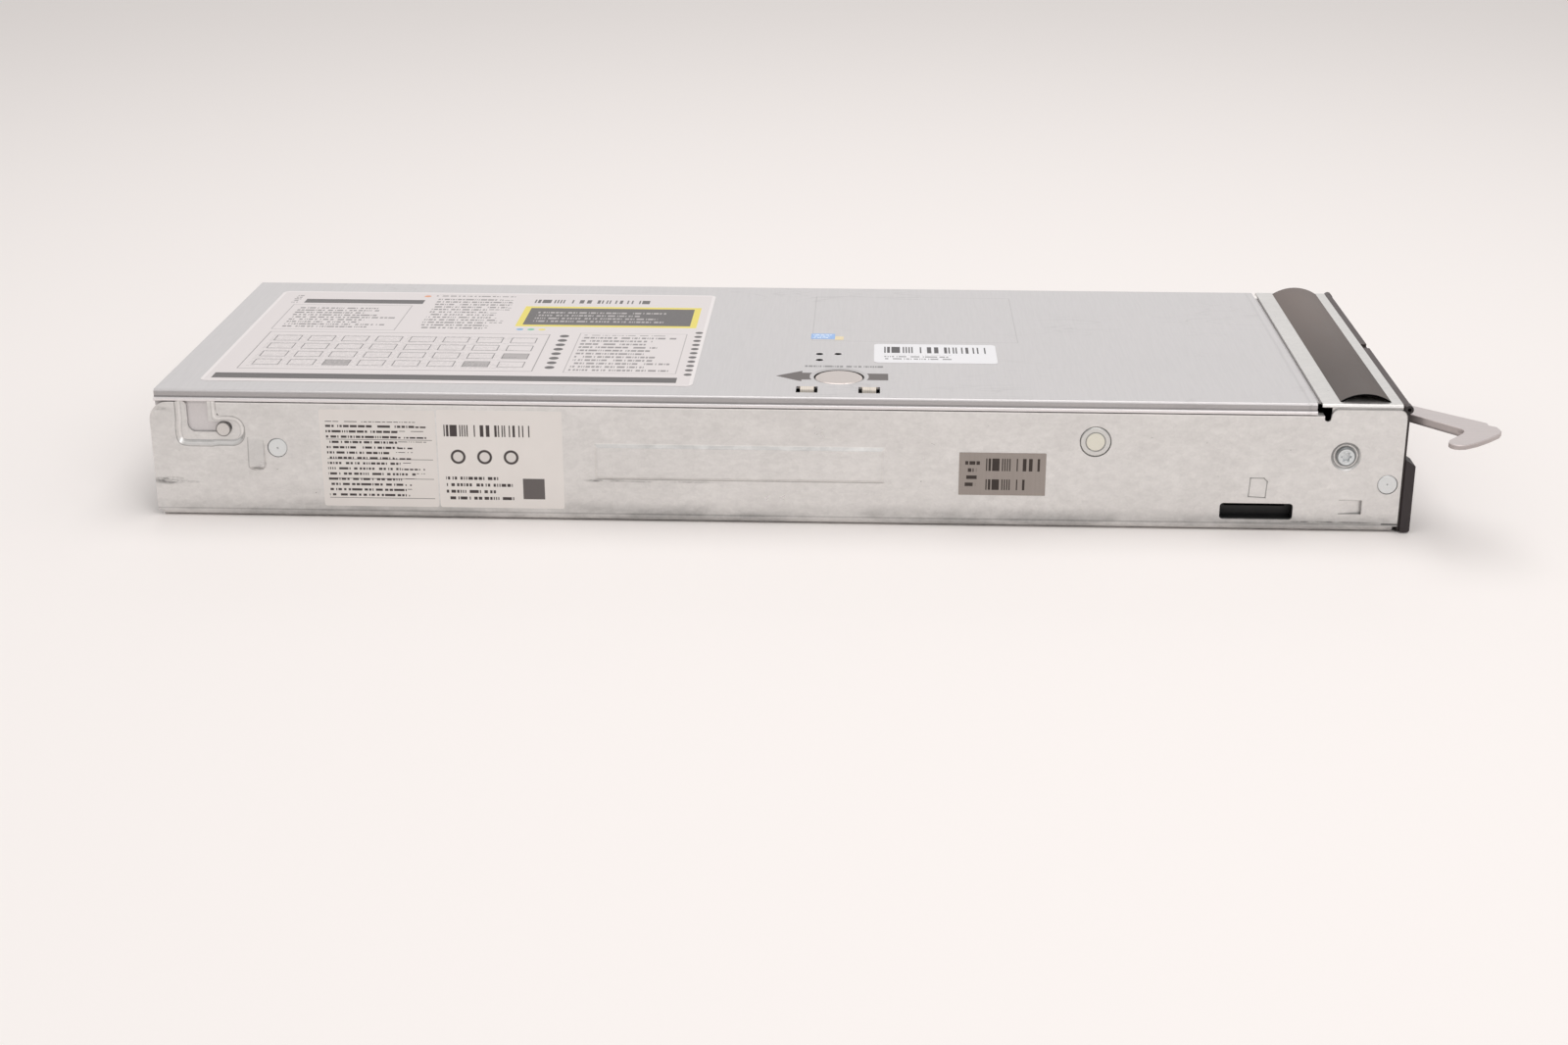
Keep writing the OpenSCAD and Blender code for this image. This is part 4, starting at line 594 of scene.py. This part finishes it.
PIN_METAL = turned_head("pin_metal", "bayonet_pins", (224, 219, 215), 2.9, 0.62, 3.1)
SCREW_METAL = turned_head("screw_metal", "wall_screws", (226, 229, 230), 4.2, 0.9, 3.8)
STUD_METAL = stud_finish()
DISC_METAL = disc_finish()
STRIP = dark_strip()
BEZEL_PLASTIC = bezel_skin()
HOUSING_PLASTIC = moulded("housing_plastic", linear(46, 38, 39), 0.45)
CARRIER_PLASTIC = moulded("carrier_plastic", linear(62, 61, 62), 0.45)
GREY_PLASTIC = moulded("grey_plastic", linear(150, 152, 156), 0.42)
MAROON_PLASTIC = moulded("maroon_plastic", linear(118, 44, 52), 0.4)
BLACK_PLASTIC = moulded("black_plastic", linear(30, 30, 31), 0.4)
IVORY_PLASTIC = moulded("ivory_plastic", linear(216, 210, 192), 0.42)
COIL_POWDER = moulded("coil_powder", linear(74, 74, 76), 0.62, 1.0)
BOARD_GREEN = circuit_board("board_green", linear(24, 84, 52))
MODULE_GREEN = circuit_board("module_green", linear(20, 92, 58))
FIN_METAL = stamped_fins()
DRIVE_METAL = drive_case()
CLEAR = clear_guide()


# ---------------------------------------------------------------- labels and prints

INK = (*linear(66, 58, 57), 1)
PAPER = (*linear(233, 226, 225), 1)


def hood_chart():
    """The hood's large printed sheet: bands, a yellow framed panel, a ruled table and a plan of cells."""
    f = Finish("hood_chart", linear(222, 214, 213), 0.42, 0.0, Coat_Weight=0.15, Coat_Roughness=0.3)
    u, v = (f.x - CHART_LO[0]) / MM, (f.y - CHART_LO[1]) / MM
    long, wide = (CHART_HI[0] - CHART_LO[0]) / MM, (CHART_HI[1] - CHART_LO[1]) / MM
    margin = f.frame_mark(u, v, (0, 0), (long, wide), 1.5)
    ink = f.box_mark(u, v, (4, 4), (199, 11.5)) + f.box_mark(u, v, (122, 92), (198, 121))
    ink = ink + f.box_mark(u, v, (14, 126), (70, 133))
    ink = ink + f.rows(u, v, (14, 84), (62, 120), 4.0) * 0.75
    ink = ink + f.rows(u, v, (76, 84), (114, 138), 4.5, 0.4) * 0.7
    ink = ink + f.rows(u, v, (152, 20), (196, 76), 5.0, 0.9) * 0.7
    ink = ink + f.bars(u, v, (122, 130), (176, 136), 0.7)
    cell_u, cell_v = (u - 14) / 15, (v - 22) / 12.5
    plan = f.box_mark(u, v, (14, 22), (134, 72))
    cell = f.box_mark(cell_u.part(), cell_v.part(), (0.12, 0.16), (0.88, 0.84))
    core = f.box_mark(cell_u.part(), cell_v.part(), (0.15, 0.2), (0.85, 0.8))
    full = f.random(cell_u.whole() + cell_v.whole() * 8) > 0.84
    ink = ink + plan * (cell - core * (1 - full * 0.6)) * 0.8
    ink = ink + f.frame_mark(u, v, (11, 18), (137, 76), 0.5) * 0.6
    dots = f.round_mark(u - 143.5, ((v / 7).part() - 0.5) * 7, 2.1, 0.15)
    dots = dots * f.box_mark(u, v, (140, 21), (148, 77))
    yellow = f.frame_mark(u, v, (119, 89), (201, 124), 3.0)
    notes = f.rows(u, v, (126, 97), (192, 117), 5.0, 0.3)
    keys = f.round_mark(((v / 6.5).part() - 0.5) * 6.5, u - 203, 1.7, 0.15)
    keys = keys * f.box_mark(u, v, (200, 14), (206, 84))
    legend = f.rows(u, v, (8, 126), (12, 141), 3.0, 0.1) + f.rows(u, v, (74, 140), (116, 143.5), 3.4, 0.8)
    ink = ink + keys + legend * 0.7 + f.frame_mark(u, v, (10, 80), (66, 123), 0.45) * 0.5
    ink = ink + f.frame_mark(u, v, (150, 17), (198, 79), 0.45) * 0.4
    ink = ink + plan * f.rows(u, v, (14, 22), (134, 72), 2.1, 0.5, 0.3) * 0.28
    ink = (ink + dots).least(1.0) * (1 - notes * 0.55)
    tint = f.blend(ink, f.blend(margin, f.colour, PAPER), INK)
    tint = f.blend(yellow, tint, (*linear(232, 214, 84), 1))
    spots = ((70, 140, (222, 150, 110)), (122, 84, (120, 170, 210)),
             (127, 84, (110, 190, 150)), (132, 84, (230, 215, 110)))
    for a, b, spot in spots:
        tint = f.blend(f.round_mark(u - a, v - b, 1.6, 0.2), tint, (*linear(*spot), 1))
    fibre = f.noise(900, 3, 0.6)
    f.set(Base_Color=f.shade(0.97 + fibre * 0.06, tint), Roughness=0.38 + fibre * 0.12 - ink * 0.06,
          Normal=f.bump(fibre * 0.4 + ink, 0.00003, 0.5))
    return f.material


def wall_film(name, colour, seed):
    """A clear-backed film on the wall, printed with rows, ruled lines and a band of stripes."""
    f = Finish(name, colour, 0.45, 0.25)
    u, v = (f.x - rear_x) / MM, f.z / MM
    ink = f.rows(u, v, (73, 9.5), (115, 42), 2.3, seed, 0.42) + f.bars(u, v, (122, 36), (158, 41), 0.5)
    ink = ink + f.rows(u, v, (122, 8.5), (151, 20), 2.9, seed + 0.6, 0.45)
    ring_u, ring_v = ((u - 122) / 11).part() * 11 - 5.5, v - 27.2
    rings = f.round_mark(ring_u, ring_v, 3.1, 0.2) - f.round_mark(ring_u, ring_v, 2.1, 0.2) * 0.9
    ink = ink + rings * f.box_mark(u, v, (122, 23), (155, 31)) + f.box_mark(u, v, (154, 9), (163, 18)) * 0.9
    lines = f.box_mark(u, v, (73, 7), (117, 41)) * ((v / 8.5).part() < 0.035)
    ink = (ink + lines * 0.7).least(1.0)
    clouds = f.noise(60, 4, 0.6)
    f.set(Base_Color=f.shade(0.94 + clouds * 0.1, f.blend(ink, f.colour, INK)),
          Roughness=0.42 + clouds * 0.14, Metallic=0.25 - ink * 0.25,
          Normal=f.bump(clouds + ink * 0.4, 0.00004, 0.5))
    return f.material


def stock_plate():
    """A brushed grey plate with two bands of stripes in its right half."""
    f = Finish("stock_plate", linear(158, 149, 143), 0.4, 0.45)
    u, v = (f.x - rear_x) / MM, f.z / MM
    ink = f.bars(u, v, (345, 24.2), (367, 29.6), 0.5) + f.bars(u, v, (345, 16), (361, 20.6), 0.5)
    ink = ink + f.rows(u, v, (336.5, 17.5), (343, 29.5), 3.1, 0.2)
    brushed = f.noise(1200, 3, 0.6, f.stretched(1, 1, 0.05))
    f.set(Base_Color=f.shade(0.9 + brushed * 0.2,
                             f.blend(ink.least(1.0), f.colour, (*linear(62, 54, 50), 1))),
          Roughness=0.34 + brushed * 0.14, Normal=f.bump(brushed, 0.00002, 0.4))
    return f.material


def stripe_ticket():
    """The hood's small white ticket with a band of stripes."""
    f = Finish("stripe_ticket", linear(236, 234, 236), 0.4, 0.0)
    u, v = (f.x - rear_x) / MM, (f.y - wall_y) / MM
    ink = f.bars(u, v, (303, 68), (347, 77.5), 0.62) + f.rows(u, v, (303, 58), (334, 65), 3.4, 0.5) * 0.7
    fibre = f.noise(1200, 3, 0.6)
    f.set(Base_Color=f.shade(0.97 + fibre * 0.06, f.blend(ink, f.colour, (*linear(66, 62, 64), 1))),
          Roughness=0.36 + fibre * 0.12, Normal=f.bump(fibre, 0.00002, 0.4))
    return f.material


def colour_tag():
    """A small two-colour tag: a blue block with pale strokes, and a yellow end."""
    f = Finish("colour_tag", linear(150, 184, 232), 0.45, 0.0)
    u, v = (f.x - rear_x) / MM, (f.y - wall_y) / MM
    strokes = f.rows(u * 2, v, (543, 90.4), (561, 96.8), 2.2, 0.7, 0.6)
    yellow = u > 281.2
    tint = f.blend(strokes, f.colour, (*linear(226, 238, 252), 1))
    tint = f.blend(yellow, tint, (*linear(234, 216, 176), 1))
    fibre = f.noise(1200, 3, 0.6)
    f.set(Base_Color=f.shade(0.94 + fibre * 0.1, tint), Roughness=0.42 + fibre * 0.1,
          Normal=f.bump(fibre, 0.00002, 0.4))
    return f.material


def placed(name, data):
    """A new object in the scene, at the origin."""
    thing = bpy.data.objects.new(name, data)
    bpy.context.scene.collection.objects.link(thing)
    return thing


def sheet_piece(name, outline, to_world, lift, body, finish):
    """A thin stuck-on sheet or print: an outline laid on a surface, made solid and riding with its body."""
    mesh = bpy.data.meshes.new(name)
    bm = bmesh.new()
    rise = to_world(0, 0, lift) - to_world(0, 0, 0)
    low = [bm.verts.new(to_world(a, b, 0.0)) for a, b in outline]
    high = [bm.verts.new(vert.co + rise) for vert in low]
    bm.faces.new(low)
    bm.faces.new(high)
    for k in range(len(outline)):
        bm.faces.new((low[k - 1], low[k], high[k], high[k - 1]))
    bmesh.ops.recalc_face_normals(bm, faces=bm.faces)
    bm.to_mesh(mesh)
    bm.free()
    piece = placed(name, mesh)
    piece.data.materials.append(finish)
    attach(piece, body)


def rounded(lo, hi, r, steps=5):
    """A rectangle's outline with round corners."""
    points = []
    for cx, cy, start in ((hi[0] - r, hi[1] - r, 0), (lo[0] + r, hi[1] - r, 90),
                          (lo[0] + r, lo[1] + r, 180), (hi[0] - r, lo[1] + r, 270)):
        for k in range(steps + 1):
            a = radians(start + 90 * k / steps)
            points.append((cx + r * cos(a), cy + r * sin(a)))
    return points


def on_hood(a, b, lift):
    """A point on the hood's top, from distances in mm from the rear edge and the near wall."""
    return Vector((rear_x + a * MM, wall_y + b * MM, hood_top + lift))


def on_near_wall(a, b, lift):
    """A point on the near wall, from distances in mm from the rear edge and the floor."""
    return Vector((rear_x + a * MM, wall_y - lift, b * MM))


CHART = ((17.4, 15), (223.5, 162))
TAG = [(270.6, 89.2), (270.6, 97.6), (281.2, 97.6), (281.2, 93.4), (285, 93.4), (285, 88), (281.2, 88),
       (281.2, 89.2)]
CHART_LO, CHART_HI = on_hood(*CHART[0], 0), on_hood(*CHART[1], 0)
PRINT_GREY = moulded("print_grey", linear(104, 97, 95), 0.5, 0.2)
MARK_GREY = moulded("mark_grey", linear(158, 156, 154), 0.5, 0.2)

sheet_piece("hood_chart", rounded(*CHART, 3), on_hood, 0.12 * MM, "hood", hood_chart())
sheet_piece("stripe_ticket", rounded((298.6, 53), (351.5, 82), 2), on_hood, 0.1 * MM, "hood",
            stripe_ticket())
sheet_piece("colour_tag", TAG, on_hood, 0.06 * MM, "hood", colour_tag())
sheet_piece("wall_film_rear", rounded((70.6, 5), (118.6, 47), 1), on_near_wall, 0.06 * MM, "chassis",
            wall_film("film_print_rear", linear(232, 227, 223), 0.1))
sheet_piece("wall_film_front", rounded((119.2, 5), (171, 47.4), 1), on_near_wall, 0.06 * MM, "chassis",
            wall_film("film_print_front", linear(235, 230, 226), 0.3))
sheet_piece("stock_plate", rounded((334, 13.7), (369.5, 32), 0.3), on_near_wall, 0.15 * MM, "chassis",
            stock_plate())


def prints():
    """The marks printed round the release button, and the card outline above the card slot."""
    mid_a, mid_b = 284, 31.7

    def beside_button(side, radius, angles):
        return [(mid_a + side * radius * cos(radians(a)), mid_b + radius * sin(radians(a))) for a in angles]

    arrow = [(257.6, mid_b), (268.4, 39.3), (268.4, 36.6)]
    arrow += beside_button(-1, 12.4, (23, 10, -10, -23)) + [(268.4, 26.8), (268.4, 24.1)]
    sheet_piece("arrow_print", arrow, on_hood, 0.03 * MM, "hood", PRINT_GREY)
    bar = [(304.6, 27), (304.6, 36.4)] + beside_button(1, 12.6, (22, 9, -9, -22))
    sheet_piece("bar_print", bar, on_hood, 0.03 * MM, "hood", PRINT_GREY)
    outer = [(452.5, 14.6), (459.4, 14.2), (459.8, 21.2), (458.4, 22.6), (452.9, 22.6)]
    for number, (a, b) in enumerate(zip(outer, outer[1:] + outer[:1])):
        along = Vector((b[0] - a[0], b[1] - a[1])).normalized() * 0.22
        side = Vector((-along.y, along.x))
        start, end = Vector(a) - along, Vector(b) + along
        ring = [tuple(p) for p in (start - side, end - side, end + side, start + side)]
        sheet_piece(f"card_mark_{number}", ring, on_near_wall, 0.02 * MM, "chassis", MARK_GREY)


prints()

# Each CAD node's finish, and the width of the soft edge that its visible copy gets
DRESS = {
    "base_pan": (WALL_SHEET, 0.16), "hood": (HOOD_SHEET, 0.16), "front_plate": (PLATE_SHEET, 0.16),
    "hood_release_button": (BUTTON_METAL, 0.1), "bayonet_pins": (PIN_METAL, 0.14),
    "wall_screws": (SCREW_METAL, 0.1), "flush_rivets": (DISC_METAL, 0),
    "ring_studs": (STUD_METAL, 0.08), "ejector_lever": (LEVER_METAL, 0.3),
    "arched_gasket": (STRIP, 0.12), "front_bezel": (BEZEL_PLASTIC, 0.2),
    "tab_housing": (HOUSING_PLASTIC, 0.25), "lever_release_button": (GREY_PLASTIC, 0.2),
    "power_button": (GREY_PLASTIC, 0.15), "serial_pull_tab": (GREY_PLASTIC, 0.12),
    "vent_grille": (ZINC, 0), "light_pipes": (CLEAR, 0), "front_port_connector": (BLACK_PLASTIC, 0.12),
    "lever_bracket": (INNER_SHEET, 0.12), "lever_pivot_pin": (ZINC, 0.12),
    "drive_carrier_1": (CARRIER_PLASTIC, 0.2), "drive_carrier_2": (CARRIER_PLASTIC, 0.2),
    "carrier_handle_1": (CARRIER_PLASTIC, 0.2), "carrier_handle_2": (CARRIER_PLASTIC, 0.2),
    "carrier_button_1": (MAROON_PLASTIC, 0.2), "carrier_button_2": (MAROON_PLASTIC, 0.2),
    "rear_signal_connector": (BLACK_PLASTIC, 0.1), "rear_power_connector": (BLACK_PLASTIC, 0.15),
    "system_board": (BOARD_GREEN, 0), "controller_card": (BOARD_GREEN, 0),
    "drive_backplane": (BOARD_GREEN, 0), "front_button_board": (BOARD_GREEN, 0),
    "memory_modules": (MODULE_GREEN, 0), "heat_sink_1": (FIN_METAL, 0), "heat_sink_2": (FIN_METAL, 0),
    "chipset_heat_sink": (FIN_METAL, 0), "disk_drive_1": (DRIVE_METAL, 0),
    "disk_drive_2": (DRIVE_METAL, 0), "memory_sockets": (IVORY_PLASTIC, 0),
    "inductors": (COIL_POWDER, 0), "mezzanine_connectors": (BLACK_PLASTIC, 0),
    "card_socket": (BLACK_PLASTIC, 0), "controller_card_connector": (BLACK_PLASTIC, 0),
    "backplane_connectors": (BLACK_PLASTIC, 0), "coin_cell_holder": (BLACK_PLASTIC, 0),
    "rear_brace": (INNER_SHEET, 0), "middle_brace": (INNER_SHEET, 0), "drive_cage": (INNER_SHEET, 0),
    "hood_latch_cup": (INNER_SHEET, 0), "hood_catch_bracket": (INNER_SHEET, 0),
}

# Nodes whose flat faces have openings in them: these are cut into triangles before their edges are rounded
PIERCED = {"front_bezel", "base_pan", "drive_carrier_1", "drive_carrier_2", "carrier_handle_1",
           "carrier_handle_2", "rear_power_connector"}

WELD = 0.002 * MM
FLAT_ANGLE, EDGE_ANGLE = radians(0.5), radians(28)


def soft_edges(node, width):
    """A copy of a CAD node with its flat faces joined and its edges rounded, in the node's place."""
    mesh = bpy.data.meshes.new(node + "_soft")
    bm = bmesh.new()
    bm.from_mesh(frame["nodes"][node].data)
    bmesh.ops.remove_doubles(bm, verts=bm.verts, dist=WELD)
    bmesh.ops.dissolve_limit(bm, angle_limit=FLAT_ANGLE, verts=bm.verts, edges=bm.edges)
    if node in PIERCED:
        many_sided = [face for face in bm.faces if len(face.verts) > 4]
        bmesh.ops.triangulate(bm, faces=many_sided, ngon_method="BEAUTY")
    for face in bm.faces:
        face.smooth = True
    bm.to_mesh(mesh)
    bm.free()
    mesh.set_sharp_from_angle(angle=EDGE_ANGLE)
    piece = placed(node + "_soft", mesh)
    edge = piece.modifiers.new("soft_edge", "BEVEL")
    edge.width, edge.segments = width * MM, 2
    edge.limit_method, edge.angle_limit = "ANGLE", EDGE_ANGLE
    edge.miter_outer, edge.use_clamp_overlap = "MITER_ARC", True
    flat = piece.modifiers.new("flat_faces", "WEIGHTED_NORMAL")
    flat.mode, flat.weight, flat.keep_sharp = "FACE_AREA", 50, True
    return piece


def dress(node):
    """Gives a node its finish, on a soft-edged copy where the table asks for one."""
    finish, width = DRESS.get(node, (ZINC, 0))
    piece = frame["nodes"][node]
    if width:
        piece = soft_edges(node, width)
        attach(piece, body_of_node[node])
        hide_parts(node)
    piece.data.materials.clear()
    piece.data.materials.append(finish)


def button_spring():
    """The release button's spring, as a copy that rides with its body."""
    node, joint = "hood_button_spring", "hood_button_press"
    travel = next(j["range_m"][1] for j in frame["joints"] if j["name"] == joint)
    low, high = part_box(node)
    spring = placed(node + "_coil", frame["nodes"][node].data.copy())
    spring.data.materials.clear()
    spring.data.materials.append(ZINC)
    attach(spring, body_of_node[node])
    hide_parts(node)
    1 - travel / (high.z - low.z)
    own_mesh(spring)


for node in frame["nodes"]:
    if node != "hood_button_spring":
        dress(node)
button_spring()


# ---------------------------------------------------------------- stage, light and camera

def studio():
    """A pale floor, soft air light and three softboxes."""
    ground = Finish("ground", linear(249, 243, 240), 0.85)
    bpy.ops.mesh.primitive_plane_add(size=12, location=(0, 2.0, -0.0003))
    floor = bpy.context.active_object
    floor.name = "floor"
    floor.data.materials.append(ground.material)

    world = bpy.data.worlds.new("studio_air")
    bpy.context.scene.world = world
    world.use_nodes = True
    air = world.node_tree.nodes["Background"]
    air.inputs["Color"].default_value = (1.0, 0.985, 0.975, 1)
    air.inputs["Strength"].default_value = 0.5

    def lamp(name, place, target, size, power):
        data = bpy.data.lights.new(name, "AREA")
        data.shape, data.energy = "RECTANGLE", power
        data.size, data.size_y = size
        softbox = placed(name, data)
        softbox.location = place
        softbox.rotation_euler = (Vector(target) - Vector(place)).to_track_quat("-Z", "Y").to_euler()

    lamp("overhead_softbox", (0.1, 0.0, 1.5), (0, 0, 0), (1.8, 1.3), 13)
    lamp("front_softbox", (0.9, -1.7, 1.2), (0, 0, 0), (1.0, 0.8), 7)
    lamp("rear_softbox", (0, 3.2, 1.1), (0, 0.3, 0), (3.6, 1.6), 10)


def camera():
    """The camera, from its place and its turn about one axis."""
    eye_place = Vector((0.0405, -0.9755, 0.3289))
    turn = Vector((radians(20.3504), radians(2.2656), radians(0.442)))
    data = bpy.data.cameras.new("camera")
    data.sensor_width, data.lens = 36.0, 52.27
    data.clip_start, data.clip_end = 0.01, 100
    eye = placed("camera", data)
    upright = Matrix(((1, 0, 0), (0, 0, -1), (0, 1, 0)))
    to_lens = Matrix.Rotation(turn.length, 3, turn.normalized()) @ upright
    facing = (Matrix.Diagonal((1, -1, -1)) @ to_lens).transposed().to_4x4()
    eye.matrix_world = Matrix.Translation(eye_place) @ facing
    bpy.context.scene.camera = eye


studio()
camera()
bpy.context.scene.view_settings.view_transform = "Standard"
